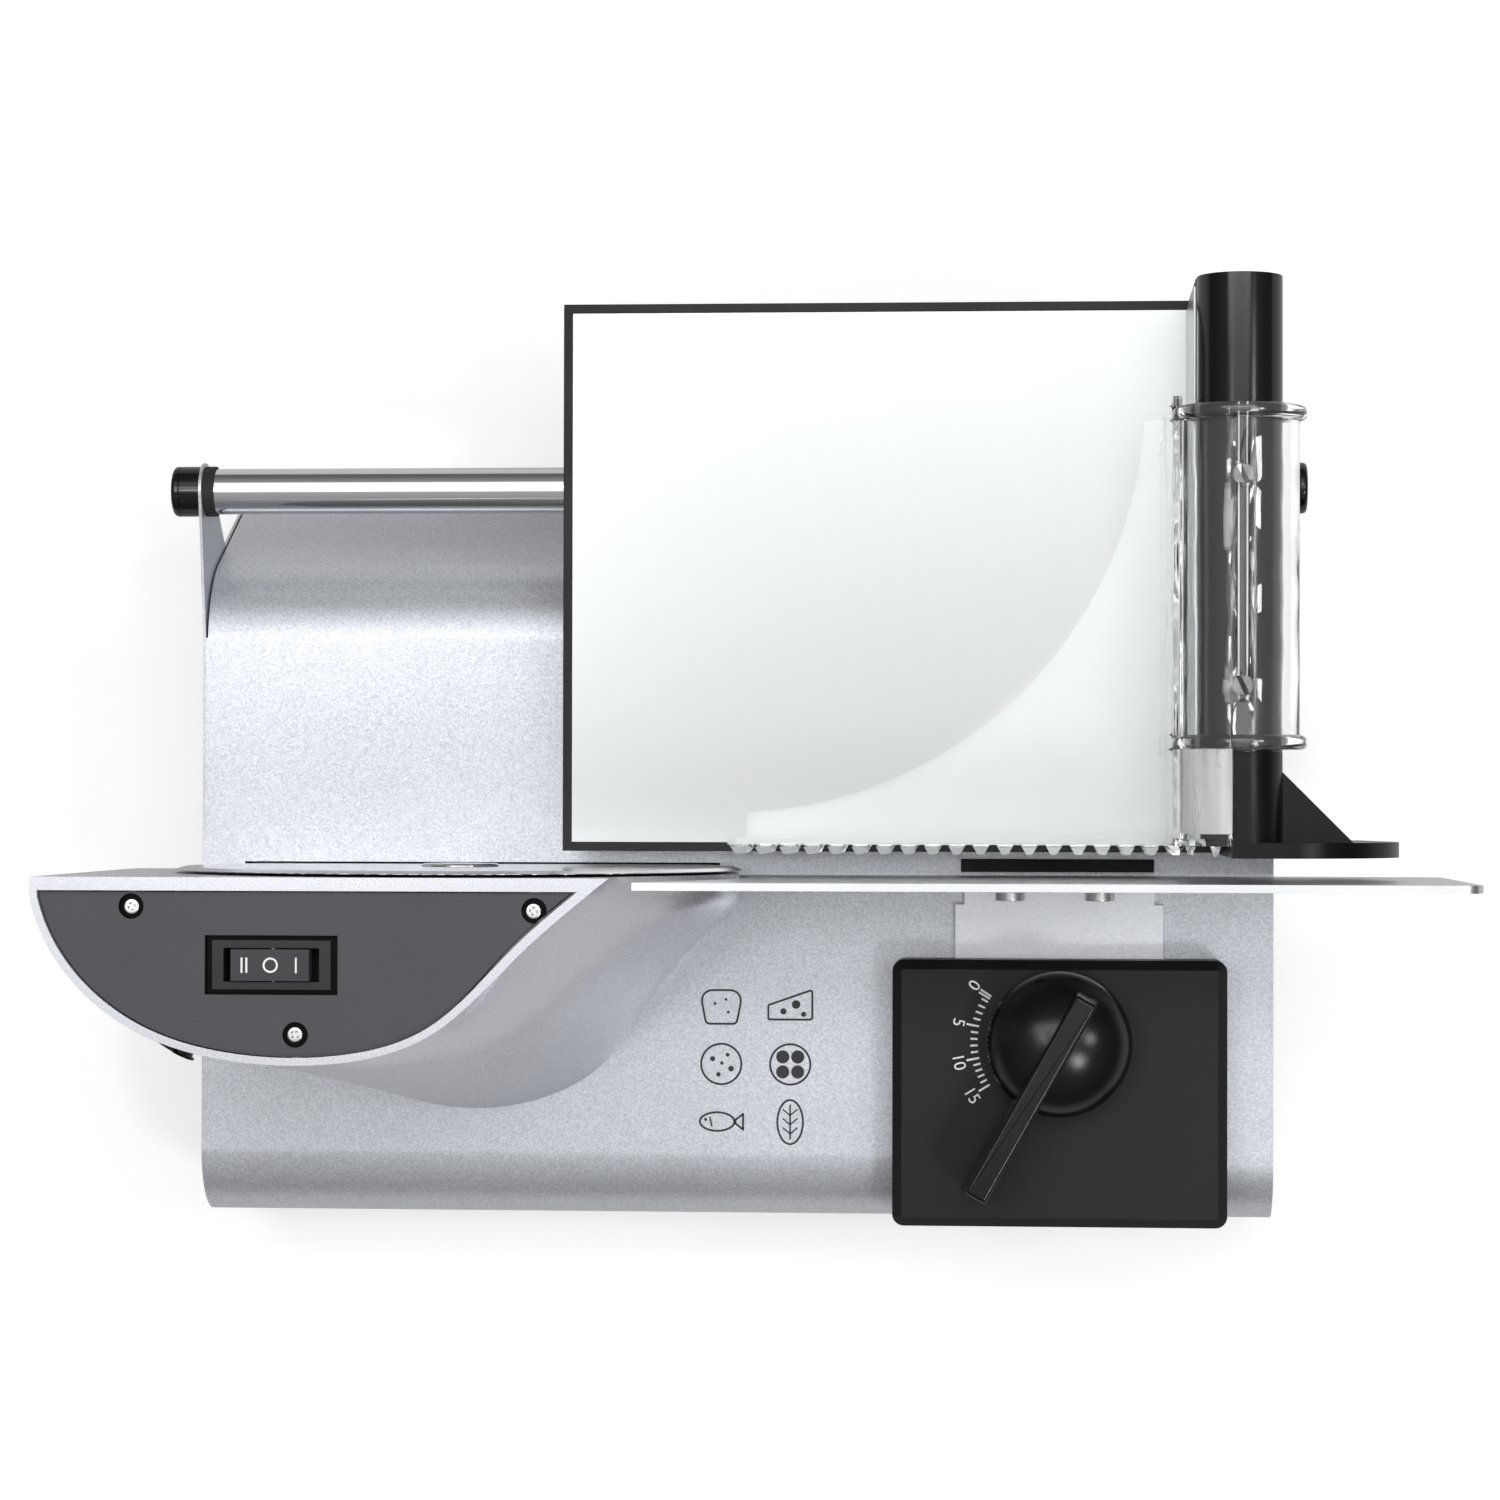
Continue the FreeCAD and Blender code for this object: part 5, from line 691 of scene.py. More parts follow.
# Each finish: what makes it, its name and its values, with sizes of patterns in millimetres
FINISHES = {
    "base_coat": (powder_coat,),
    "blade_steel": (cutting_steel,),
    "clear": (clear_san,),
    # Silver lacquer on the cast housing: flakes too fine to be seen one by one, a smooth gloss
    "housing_coat": (flake_coat, "silver_lacquer", srgb("#CDCFD5"), srgb("#D3D5DB"), dict(
        flake=0.26, metallic=0.5, roughness=0.3, coat=0.3, glint=0.002)),
    # The same lacquer on the stop plate's carrier, with coarser flakes and painted paler: painted
    # light that lifts the shade it takes under the stop plate
    "carrier_coat": (flake_coat, "silver_lacquer_carrier", srgb("#E2E5EA"), srgb("#F2F4F8"), dict(
        flake=0.42, metallic=0.5, roughness=0.36, coat=0.15)),
    # Stove enamel on the bottom cover: black, slightly wavy, half dull
    "black_steel": (moulded, "black_stove_enamel", "#29292B", dict(
        grain=0.9, depth=0.012, roughness=0.4)),
    # ABS from a spark-eroded mould: dull black with a soft grain, dark grey on the switch panel
    "black_plastic": (moulded, "abs_textured", "#121215", dict(
        grain=0.5, depth=0.02, roughness=0.42, gloss=0.25)),
    "panel": (moulded, "abs_panel", "#4E4F53", dict(
        grain=0.45, depth=0.02, roughness=0.44, gloss=0.25)),
    # The same with a finer grain on the switch
    "bezel": (moulded, "abs_bezel", "#2B2B2F", dict(
        grain=0.4, depth=0.015, roughness=0.36, gloss=0.25)),
    "rocker": (moulded, "abs_rocker", "#3E3E43", dict(
        grain=0.4, depth=0.015, roughness=0.34, gloss=0.25)),
    # ABS from a polished mould: deep black with sharp, slightly wavy reflections
    "gloss_black": (moulded, "abs_gloss", "#0C0C0D", dict(
        grain=3.0, depth=0.008, roughness=0.16, spread=0.05, gloss=0.4)),
    # ABS from a finely blasted mould: black with a soft bright highlight on the dome
    "knob": (moulded, "abs_fine_grain", "#08080A", dict(
        grain=0.6, depth=0.03, roughness=0.22, spread=0.03, gloss=0.34)),
    # Satin ABS on the thumb guard: black with faint broad reflections
    "guard": (moulded, "abs_satin", "#08080A", dict(
        grain=1.2, depth=0.01, roughness=0.3, gloss=0.2)),
    # Soft rubber: nearly black and matt. The first of the two also makes the black pieces that
    # paint shade into the screw wells and the gap round the switch
    "seal": (moulded, "seal_rubber", "#040404", dict(
        grain=0.4, depth=0.01, roughness=0.5, gloss=0.08)),
    "rubber": (moulded, "moulded_rubber", "#1B1B1B", dict(
        grain=0.4, depth=0.03, roughness=0.7)),
    # Acetal: waxy white
    "glide": (moulded, "acetal_white", "#DEDDD6", dict(
        grain=1.0, depth=0.006, roughness=0.36)),
    # Undyed nylon: ivory with a dull sheen
    "gear_plastic": (moulded, "nylon_natural", "#D6CFBB", dict(
        grain=0.8, depth=0.01, roughness=0.42)),
    # Pressed graphite: dark grey and grainy
    "carbon": (moulded, "carbon_graphite", "#2A2A2B", dict(
        grain=0.25, depth=0.02, roughness=0.55)),
    # Solder mask: glossy green
    "circuit": (moulded, "circuit_green", "#1F5B38", dict(
        grain=1.2, depth=0.01, roughness=0.3)),
    # Pad-printed ink: flat and even
    "white_print": (moulded, "white_pad_print", "#FBFBF9", dict(
        grain=0.3, depth=0.004, roughness=0.5)),
    "black_print": (moulded, "black_pad_print", "#1C1D20", dict(
        grain=0.3, depth=0.004, roughness=0.5)),
    # Zinc plate on screws: bright, with a fine even grain
    "zinc_screws": (worked_metal, "zinc_plated_steel", "#D2D3D4", dict(
        streak=0.35, roughness=0.24, depth=0.004)),
    # Turned steel: fine lines along the shafts
    "steel": (worked_metal, "machined_steel", "#B4B5B6", dict(
        streak=0.2, roughness=0.3, depth=0.003, stretch=(1.0, 1.0, 6.0))),
    # Brushed stainless sheet: long faint lines from front to back, a broad soft reflection
    "tray_steel": (worked_metal, "stainless_brushed", "#B1B3B4", dict(
        streak=0.28, roughness=0.3, depth=0.0015, stretch=(1.0, 40.0, 40.0), smudge=0.015,
        dull=0.96)),
    # Brushed aluminium: long lines along the plate, soft and pale
    "plate_aluminium": (worked_metal, "aluminium_brushed", "#D6D8DA", dict(
        streak=0.3, roughness=0.28, depth=0.003, stretch=(60.0, 1.0, 1.0), smudge=0.04)),
    # Sand-cast aluminium: rough grey skin
    "cast_block": (worked_metal, "aluminium_cast", "#A5A6A8", dict(
        streak=0.9, roughness=0.5, depth=0.05)),
    # Sintered bronze: warm, dull, finely porous
    "bronze": (worked_metal, "bronze_sintered", "#B98D5A", dict(
        streak=0.3, roughness=0.42, depth=0.01)),
    # Galvanised steel: broad pale spangles
    "motor_coat": (worked_metal, "steel_galvanised", "#BFC1C3", dict(
        streak=6.0, roughness=0.35, depth=0.004)),
    # Polished chrome: a mirror with hair-fine lines along the rod
    "chrome": (worked_metal, "chrome_polished", "#D9DADC", dict(
        streak=0.5, roughness=0.07, depth=0.0006, stretch=(80.0, 1.0, 1.0), smudge=0.03,
        dull=0.97)),
}
MADE = {}


def finish(name):
    """The finish of a slot or of a piece, made once."""
    if name not in MADE:
        maker, *values = FINISHES[name]
        settings = values.pop() if values else {}
        MADE[name] = maker(*values, **settings)
    return MADE[name]


# Values that a user would change

class SlicerSizes(bpy.types.PropertyGroup):
    """Softened edges, screws and numbers"""
    edge: bpy.props.FloatProperty(
        name="Sheet edge", description="Softening of the edges of sheet metal",
        default=0.3 * MM, min=0.05 * MM, max=1.0 * MM, subtype="DISTANCE", unit="LENGTH")
    moulding: bpy.props.FloatProperty(
        name="Moulded edge", description="Softening of the edges of moulded pieces",
        default=0.45 * MM, min=0.05 * MM, max=1.5 * MM, subtype="DISTANCE", unit="LENGTH")
    screw_head: bpy.props.FloatProperty(
        name="Screw head", description="Diameter of the panel's screw heads",
        default=5.0 * MM, min=3.0 * MM, max=7.0 * MM, subtype="DISTANCE", unit="LENGTH")
    numeral: bpy.props.FloatProperty(
        name="Numeral", description="Letter size of the dial's numbers",
        default=5.8 * MM, min=2.0 * MM, max=8.0 * MM, subtype="DISTANCE", unit="LENGTH")


class SlicerColours(bpy.types.PropertyGroup):
    """Colours of the base's coat and of the floor"""
    coat_dark: bpy.props.FloatVectorProperty(
        name="Coat, dark flake", description="Darkest flakes of the base's powder coat",
        subtype="COLOR", size=3, min=0.0, max=1.0, default=srgb("#B8BBC2")[:3])
    coat_light: bpy.props.FloatVectorProperty(
        name="Coat, light flake", description="Lightest flakes of the base's powder coat",
        subtype="COLOR", size=3, min=0.0, max=1.0, default=srgb("#DADDE3")[:3])
    floor: bpy.props.FloatVectorProperty(
        name="Floor", description="Colour of the studio floor",
        subtype="COLOR", size=3, min=0.0, max=1.0, default=srgb("#DCDCDB")[:3])


# Operators

class SLICER_OT_studio(bpy.types.Operator):
    """Camera, lamps, world and floor"""
    bl_idname = "slicer.studio"
    bl_label = "Studio"

    def execute(self, context):
        scene = context.scene
        scene.view_settings.view_transform = "Standard"
        back = (CAMERA_PLACE - CAMERA_TARGET).normalized()
        right = Vector((0.0, 1.0, 0.0)).cross(back).normalized()
        turn = Matrix((right, back.cross(right), back)).transposed().to_4x4()
        data = bpy.data.cameras.new("camera")
        data.lens = CAMERA_LENS
        data.sensor_width = CAMERA_SENSOR
        data.clip_end = CAMERA_REACH
        camera = bpy.data.objects.new("camera", data)
        scene.collection.objects.link(camera)
        camera.matrix_world = (Matrix.Translation(CAMERA_PLACE) @ turn
                               @ Matrix.Rotation(CAMERA_ROLL, 4, "Z"))
        scene.camera = camera
        for name, place, width, depth, watts in LAMPS:
            lamp = bpy.data.lights.new(name, "AREA")
            lamp.shape = "RECTANGLE"
            lamp.size = width
            lamp.size_y = depth
            lamp.energy = watts
            stand = bpy.data.objects.new(name, lamp)
            scene.collection.objects.link(stand)
            stand.location = place
            stand.rotation_euler = Vector(place).to_track_quat("Z", "Y").to_euler()
        self.make_world(scene)
        self.make_floor()
        return {"FINISHED"}

    def make_world(self, scene):
        """Soft sky: bright overhead, dimmer at the horizon, and plain white to the camera."""
        world = bpy.data.worlds.new("studio")
        world.use_nodes = True
        scene.world = world
        tree = world.node_tree
        tree.nodes.clear()
        place = add(tree, "TexCoord")
        height = add(tree, "SeparateXYZ", {"Vector": place.outputs["Generated"]})
        sky = add(tree, "MapRange", {"Value": height.outputs["Z"], "From Min": SKY_START,
                                     "From Max": 1.0, "To Min": SKY_HORIZON,
                                     "To Max": SKY_ZENITH})
        path = add(tree, "LightPath")
        through = add(tree, "Math", {0: path.outputs["Is Transmission Ray"], 1: SKY_THROUGH},
                      operation="MULTIPLY")
        seen = add(tree, "Math", {0: path.outputs["Is Camera Ray"], 1: through.outputs[0]},
                   operation="ADD", use_clamp=True)
        level = add(tree, "Mix", {"Factor": seen.outputs[0], "A": sky.outputs["Result"],
                                  "B": 1.0}, data_type="FLOAT")
        light = add(tree, "Background", {"Color": (1.0, 1.0, 1.0, 1.0),
                                         "Strength": level.outputs["Result"]})
        add(tree, "OutputWorld", {"Surface": light.outputs["Background"]})

    def make_floor(self):
        """Matt pale card that takes the shadow, and glows only to the camera and in gloss."""
        floor = begin(bpy.ops.mesh.primitive_plane_add, size=FLOOR_SIDE)
        floor.name = "floor"
        material, tree = new_finish("studio_floor")
        path = add(tree, "LightPath")
        shiny = add(tree, "Math", {0: path.outputs["Is Glossy Ray"], 1: FLOOR_GLOSS},
                    operation="MULTIPLY")
        seen = add(tree, "Math", {0: path.outputs["Is Camera Ray"], 1: shiny.outputs[0]},
                   operation="ADD")
        seen = add(tree, "Math", {0: seen.outputs[0], 1: path.outputs["Is Transmission Ray"]},
                   operation="ADD", use_clamp=True)
        cloud = pattern(tree, "Noise", FLOOR_CLOUD, inputs={"Detail": 2.0})
        colour = tuple(bpy.context.scene.slicer_colours.floor) + (1.0,)
        tone = blend_colours(tree, cloud.outputs["Fac"], toned(colour, TOUCHED_TONE), colour)
        card = add(tree, "BsdfDiffuse", {"Color": tone})
        place = add(tree, "TexCoord")
        away = add(tree, "VectorMath", {0: place.outputs["Object"]}, operation="LENGTH")
        level = add(tree, "MapRange", {"Value": away.outputs["Value"], "From Min": FLOOR_NEAR,
                                       "From Max": FLOOR_FAR, "To Min": FLOOR_GLOW,
                                       "To Max": 1.0})
        glow = add(tree, "Math", {0: seen.outputs[0], 1: level.outputs["Result"]},
                   operation="MULTIPLY")
        lift = add(tree, "Emission", {"Color": (1.0, 1.0, 1.0, 1.0), "Strength": glow.outputs[0]})
        surface = add(tree, "AddShader", {0: card.outputs[0], 1: lift.outputs[0]})
        add(tree, "OutputMaterial", {"Surface": surface.outputs[0]})
        floor.data.materials.append(material)


class SLICER_OT_base(bpy.types.Operator):
    """Formed base, its side plates, bottom cover and feet"""
    bl_idname = "slicer.base"
    bl_label = "Base"

    def execute(self, context):
        skin("base_shell")
        for node in ("base_side_left", "base_side_right", "bottom_cover"):
            skin(node, bevel=chosen("edge"))
        skin("rubber_feet", bevel=chosen("moulding"))
        paint("base_screws", "casing_screws")
        return {"FINISHED"}


class SLICER_OT_housing(bpy.types.Operator):
    """Motor housing, switch panel and cord gland"""
    bl_idname = "slicer.housing"
    bl_label = "Motor housing"

    def execute(self, context):
        skin("motor_housing", angle=38, bevel=chosen("edge"))
        skin("switch_panel", bevel=chosen("edge"), material=finish("panel"))
        skin("cable_gland", bevel=0.2, shape=self.shorten_gland)
        paint("housing_floor", "gland_nut")
        self.screws()
        return {"FINISHED"}

    def shorten_gland(self, obj):
        """Bring the gland's tip closer to the wall."""
        inside, outside = (sum(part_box(node), Vector((0.0, 0.0, 0.0))) / 2
                           for node in ("gland_nut", "cable_gland"))
        out = (outside - inside).normalized()
        end = max(vertex.co.dot(out) for vertex in obj.data.vertices)
        choose(obj, "verts", lambda vertex: vertex.co.dot(out) > end - GLAND_TIP * MM)
        bpy.ops.transform.translate(value=-out * GLAND_SHORTER * MM)

    def screws(self):
        """Cross-head screws in the panel's wells, where the frame's screw heads are."""
        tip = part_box("panel_screws")[1].z
        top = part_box("switch_panel")[1].z
        points = sorted({(round(vertex.co.x, 3), round(vertex.co.y, 3))
                         for vertex in NODES["panel_screws"].data.vertices
                         if vertex.co.z > tip - SAME})
        heads = []
        for point in points:
            near = [head for head in heads if math.dist(head[0], point) < HEADS_APART * MM]
            if near:
                near[0].append(point)
            else:
                heads.append([point])
        screws = [self.head(chosen("screw_head") / 2)]
        for _ in heads[1:]:
            screw = screws[0].copy()
            screw.data = screws[0].data.copy()
            bpy.context.scene.collection.objects.link(screw)
            screws.append(screw)
        for index, (screw, head) in enumerate(zip(screws, heads)):
            middle = sum((Vector(point) for point in head), Vector((0.0, 0.0))) / len(head)
            screw.name = "panel_screw_%d" % (index + 1)
            screw.rotation_euler = (0.0, 0.0, math.radians(HEAD_TURN + HEAD_TURN_STEP * index))
            screw.location = (middle.x, middle.y, top - SCREW_SUNK * MM)
            settle(screw)
            dress(screw, "zinc_screws", "frame", nodes=("panel_screws",))
            self.well(Vector((middle.x, middle.y, top - LIP_DROP * MM)), index)

    def well(self, place, index):
        """Black piece in a screw's well: painted shade that darkens the well."""
        well_shade = begin(bpy.ops.mesh.primitive_cylinder_add, vertices=48, radius=WELL_RADIUS * MM,
                      depth=WELL_DEPTH * MM)
        well_shade.name = "screw_well_%d" % (index + 1)
        well_shade.location = place - Vector((0.0, 0.0, WELL_DEPTH * MM / 2))
        settle(well_shade)
        sink(well_shade, LIP_WALL, WELL_DEPTH - LIP_FLOOR)
        smooth(well_shade)
        dress(well_shade, "gloss_black", "frame", finish("seal"))

    def head(self, radius):
        """Pan head with a cross recess, its top at the origin."""
        head = begin(bpy.ops.mesh.primitive_cylinder_add, vertices=40, radius=radius * MM,
                     depth=HEAD_HEIGHT * MM, location=(0.0, 0.0, -HEAD_HEIGHT * MM / 2))
        settle(head)
        edit(head)
        choose(head, "edges", lambda edge: min(vertex.co.z for vertex in edge.verts) > -SAME)
        bpy.ops.mesh.bevel(offset=HEAD_ROUND * MM, segments=5, profile=0.6)
        close()
        cutters = []
        for turn in (0.0, math.pi / 2):
            cutter = block(radius * RECESS_LENGTH, RECESS_WIDTH, 2 * RECESS_DEPTH,
                           (0.0, 0.0, RECESS_DEPTH * MM))
            edit(cutter)
            choose(cutter, "faces", lambda face: face.normal.z < -0.9)
            bpy.ops.transform.resize(value=RECESS_TAPER)
            close()
            cutter.rotation_euler = (0.0, 0.0, turn)
            settle(cutter)
            cutters.append(cutter)
        combine(head, cutters, "DIFFERENCE")
        smooth(head)
        return head


class SLICER_OT_switch(bpy.types.Operator):
    """Three-way rocker switch with its printed marks"""
    bl_idname = "slicer.switch"
    bl_label = "Rocker switch"

    def execute(self, context):
        skin("switch_body", bevel=0.4, segments=3, material=finish("bezel"))
        rocker = skin("switch_rocker", bevel=0.25, segments=3, angle=25, material=finish("rocker"))
        self.gasket()
        paint("switch_pivots")
        low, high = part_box("switch_rocker")
        middle = Vector(((low.x + high.x) / 2, (low.y + high.y) / 2, high.z + 2 * MM))
        strokes = []
        for step in (-MARK_SPACING - MARK_PAIR, -MARK_SPACING + MARK_PAIR, MARK_SPACING):
            strokes.append(bar(MARK_STROKE, MARK_HEIGHT, middle + Vector((step * MM, 0.0, 0.0)),
                               0.0))
        strokes.append(ring(MARK_HEIGHT / 2, MARK_STROKE, middle))
        marks = join(strokes, "rocker_marks")
        edit(marks)
        bpy.ops.mesh.select_all(action="SELECT")
        bpy.ops.mesh.subdivide(number_cuts=1)
        close()
        for vertex in marks.data.vertices:
            start = Vector((vertex.co.x, vertex.co.y, middle.z))
            hit, point = rocker.ray_cast(start, Vector((0.0, 0.0, -1.0)))[:2]
            vertex.co.z += (point.z if hit else high.z) + 0.5 * PRINT_THICK * MM - middle.z
        dress(marks, "gloss_black", "rocker", finish("white_print"))
        return {"FINISHED"}

    def gasket(self):
        """Black ring in the gap between the bezel and the panel: painted shade that darkens the
        gap.
        """
        low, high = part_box("switch_body")
        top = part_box("switch_panel")[1].z
        middle = Vector(((low.x + high.x) / 2, (low.y + high.y) / 2, top - LIP_DROP * MM))
        outer = block(*GAP_SHADE_SIZE, middle, "switch_seal")
        sink(outer, LIP_WALL, GAP_SHADE_SIZE[2] - LIP_FLOOR)
        inner = block((high.x - low.x) / MM + GAP_SHADE_EASE, (high.y - low.y) / MM + GAP_SHADE_EASE,
                      GAP_SHADE_CUT, middle + Vector((0.0, 0.0, 1.0 * MM)))
        combine(outer, [inner], "DIFFERENCE")
        dress(outer, "gloss_black", "frame", finish("seal"))


class SLICER_OT_dial(bpy.types.Operator):
    """Knob box with its printed scale, and the thickness knob"""
    bl_idname = "slicer.dial"
    bl_label = "Thickness dial"

    def execute(self, context):
        skin("knob_box", bevel=0.35, segments=3)
        self.knob()
        axis = PIVOT["knob_turn"]
        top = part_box("knob_box")[1].z + 0.5 * PRINT_THICK * MM
        last = DIAL_STEP * (len(DIAL_TURNS) - 1)
        marks = []
        for count in (0, DIAL_DOUBLE, *range(1, last + 1)):
            index = min(int(count / DIAL_STEP), len(DIAL_TURNS) - 2)
            start, end = DIAL_TURNS[index:index + 2]
            turn = math.radians(start + (end - start) * (count / DIAL_STEP - index))
            out = Vector((math.cos(turn), math.sin(turn), 0.0))
            length = TICK_LONG if count % DIAL_STEP < 1 else TICK_SHORT
            place = Vector((axis.x, axis.y, top)) + out * (TICK_INNER + length / 2) * MM
            marks.append(bar(TICK_WIDTH, length, place, turn + math.pi / 2))
            if count % DIAL_STEP == 0:
                number = words(str(count), chosen("numeral"))
                number.rotation_euler = (0.0, 0.0, turn + math.pi / 2)
                number.location = Vector((axis.x, axis.y, top)) + out * NUMERAL_RADIUS * MM
                settle(number)
                marks.append(number)
        dress(join(marks, "dial_print"), "black_plastic", "frame", finish("white_print"))
        return {"FINISHED"}

    def knob(self):
        """Domed knob with a tapered grip bar across it."""
        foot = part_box("thickness_knob")[0].z
        axis = PIVOT["knob_turn"]
        dome = begin(bpy.ops.mesh.primitive_uv_sphere_add, segments=96, ring_count=48, radius=1.0)
        edit(dome)
        bpy.ops.mesh.select_all(action="SELECT")
        bpy.ops.mesh.bisect(plane_co=(0.0, 0.0, 0.0), plane_no=(0.0, 0.0, 1.0), clear_inner=True,
                            use_fill=True)
        close()
        dome.scale = (KNOB_RADIUS * MM, KNOB_RADIUS * MM, (KNOB_HEIGHT - KNOB_SKIRT) * MM)
        dome.location = (0.0, 0.0, KNOB_SKIRT * MM)
        settle(dome)
        edit(dome)
        choose(dome, "faces", lambda face: face.normal.z < -0.99)
        bpy.ops.mesh.extrude_region_move(
            TRANSFORM_OT_translate={"value": (0.0, 0.0, -KNOB_SKIRT * MM)})
        choose(dome, "edges", lambda edge: max(vertex.co.z for vertex in edge.verts) < SAME)
        bpy.ops.mesh.bevel(offset=KNOB_FOOT_ROUND * MM, segments=3)
        close()
        start, end = GRIP_FOOT
        grip = block(end - start, GRIP_WIDTHS[0], GRIP_LEVELS[1] - GRIP_LEVELS[0],
                     ((start + end) / 2 * MM, 0.0, GRIP_LEVELS[1] * MM))
        edit(grip)
        choose(grip, "faces", lambda face: face.normal.z > 0.9)
        bpy.ops.transform.resize(value=((GRIP_TOP[1] - GRIP_TOP[0]) / (end - start),
                                        GRIP_WIDTHS[1] / GRIP_WIDTHS[0], 1.0))
        bpy.ops.transform.translate(value=((sum(GRIP_TOP) - sum(GRIP_FOOT)) / 2 * MM, 0.0, 0.0))
        choose(grip, "edges", lambda edge: abs(edge.verts[0].co.z - edge.verts[1].co.z) > MM)
        bpy.ops.mesh.bevel(offset=GRIP_SIDE_ROUND * MM, segments=3)
        crest = GRIP_LEVELS[1] * MM - SAME
        choose(grip, "edges", lambda edge: min(vertex.co.z for vertex in edge.verts) > crest)
        bpy.ops.mesh.bevel(offset=GRIP_TOP_ROUND * MM, segments=5)
        close()
        grip.rotation_euler = (0.0, 0.0, math.radians(GRIP_ANGLE))
        settle(grip)
        combine(dome, [grip], "UNION")
        dome.name = "thickness_knob_skin"
        dome.location = (axis.x, axis.y, foot)
        settle(dome)
        smooth(dome)
        finish_modifier(dome, "WEIGHTED_NORMAL", keep_sharp=True, weight=SKIN_WEIGHT)
        dress(dome, "gloss_black", NODES["thickness_knob"]["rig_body"], finish("knob"),
              ("thickness_knob",))


class SLICER_OT_icons(bpy.types.Operator):
    """Plain printed food icons on the base"""
    bl_idname = "slicer.icons"
    bl_label = "Printed icons"

    def execute(self, context):
        axis = PIVOT["knob_turn"]
        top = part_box("base_shell")[1].z + 0.5 * PRINT_THICK * MM
        makers = (self.bread, self.cheese, self.sausage, self.tomato, self.fish, self.leaf)
        places = ((x, y) for y in ICON_ROWS for x in ICON_COLUMNS)
        shapes = []
        for make, (x, y) in zip(makers, places):
            shapes += make(Vector((axis.x + x * MM, axis.y + y * MM, top)))
        dress(join(shapes, "food_icons"), "base_coat", "frame", finish("black_print"))
        return {"FINISHED"}

    def outline(self, place, corners, rounds):
        """Outline of a four-cornered shape: its corners and how far each is rounded."""
        obj = begin(bpy.ops.mesh.primitive_plane_add, size=1.0)
        edit(obj)
        mesh = bmesh.from_edit_mesh(obj.data)
        order = sorted(mesh.verts, key=lambda vertex: (vertex.co.y, vertex.co.x))
        for vertex, (x, y) in zip(order, corners):
            vertex.co = Vector((x * MM, y * MM, 0.0))
        bmesh.update_edit_mesh(obj.data)
        for (x, y), size in zip(corners, rounds):
            corner = Vector((x * MM, y * MM, 0.0))
            choose(obj, "verts", lambda vertex: (vertex.co - corner).length < SAME)
            bpy.ops.mesh.bevel(offset=size * MM, segments=6, affect="VERTICES")
        choose(obj, "faces", lambda face: True)
        bpy.ops.mesh.inset(thickness=ICON_STROKE * MM)
        bpy.ops.mesh.delete(type="FACE")
        close()
        finish_modifier(obj, "SOLIDIFY", thickness=PRINT_THICK * MM, offset=0.0)
        obj.location = place
        settle(obj)
        return obj

    def dots(self, place, places):
        """Dots of an icon, each with its place from the icon's middle and its radius."""
        return [ring(radius, radius, place + Vector((x * MM, y * MM, 0.0)), 20)
                for x, y, radius in places]

    def bread(self, place):
        """Loaf with a few seeds."""
        half = ICON_SIZE / 2
        body = self.outline(place, ((-half * 0.7, -half * 0.8), (half * 0.7, -half * 0.8),
                                    (-half, half * 0.75), (half, half * 0.75)),
                            (1.5, 1.5, 5.0, 5.0))
        return [body] + self.dots(place, ((-2.2, 1.0, 0.5), (1.6, 2.4, 0.5), (2.4, -2.0, 0.5)))

    def cheese(self, place):
        """Wedge with holes."""
        half = ICON_SIZE / 2
        body = self.outline(place, ((-half, -half * 0.6), (half, -half * 0.6), (-half, half * 0.1),
                                    (half, half * 0.8)), (0.8, 1.2, 0.8, 1.6))
        return [body] + self.dots(place, ((-2.4, -1.6, 1.1), (2.0, 0.8, 1.5), (4.6, -2.6, 0.9)))

    def sausage(self, place):
        """Slice with specks."""
        body = ring(ICON_DISC, ICON_STROKE, place, 48)
        return [body] + self.dots(place, ((-3.0, 1.8, 0.9), (2.2, 3.2, 0.7), (3.4, -1.6, 1.0),
                                          (-1.0, -3.6, 0.8), (0.2, 0.3, 0.6)))

    def fish(self, place):
        """Fish with its tail, gill and eye."""
        size = ICON_SIZE / 16
        body = ring(6.4 * size, ICON_STROKE, place + Vector((-1.4 * size * MM, 0.0, 0.0)), 48,
                    (1.0, 0.56))
        tail = self.outline(place, ((4.6 * size, -0.8 * size), (8.0 * size, -3.4 * size),
                                    (4.6 * size, 0.8 * size), (8.0 * size, 3.4 * size)),
                            (0.2, 0.7, 0.2, 0.7))
        gill = bar(0.6, 3.4, place + Vector((-3.6 * size * MM, 0.0, 0.0)), math.radians(12))
        return [body, tail, gill] + self.dots(place, ((-5.4, 0.7, 0.55),))

    def leaf(self, place):
        """Leaf with its veins."""
        size = ICON_SIZE / 16
        shapes = [ring(8.0 * size, ICON_STROKE, place, 48, (0.6, 1.0)),
                  bar(0.6, 12.0 * size, place, 0.0)]
        for side in (-1, 1):
            for rise in (-3.0, 0.2, 3.4):
                vein = place + Vector((side * 1.3, rise, 0.0)) * size * MM
                shapes.append(bar(0.5, 3.4 * size, vein, -side * math.radians(50)))
        return shapes

    def tomato(self, place):
        """Slice with four chambers."""
        shapes = [ring(ICON_DISC, ICON_STROKE, place, 48)]
        for turn in (45, 135, 225, 315):
            out = Vector((math.cos(math.radians(turn)), math.sin(math.radians(turn)), 0.0))
            shapes.append(ring(2.3, 2.3, place + out * ICON_DISC / 2 * MM, 28))
        return shapes


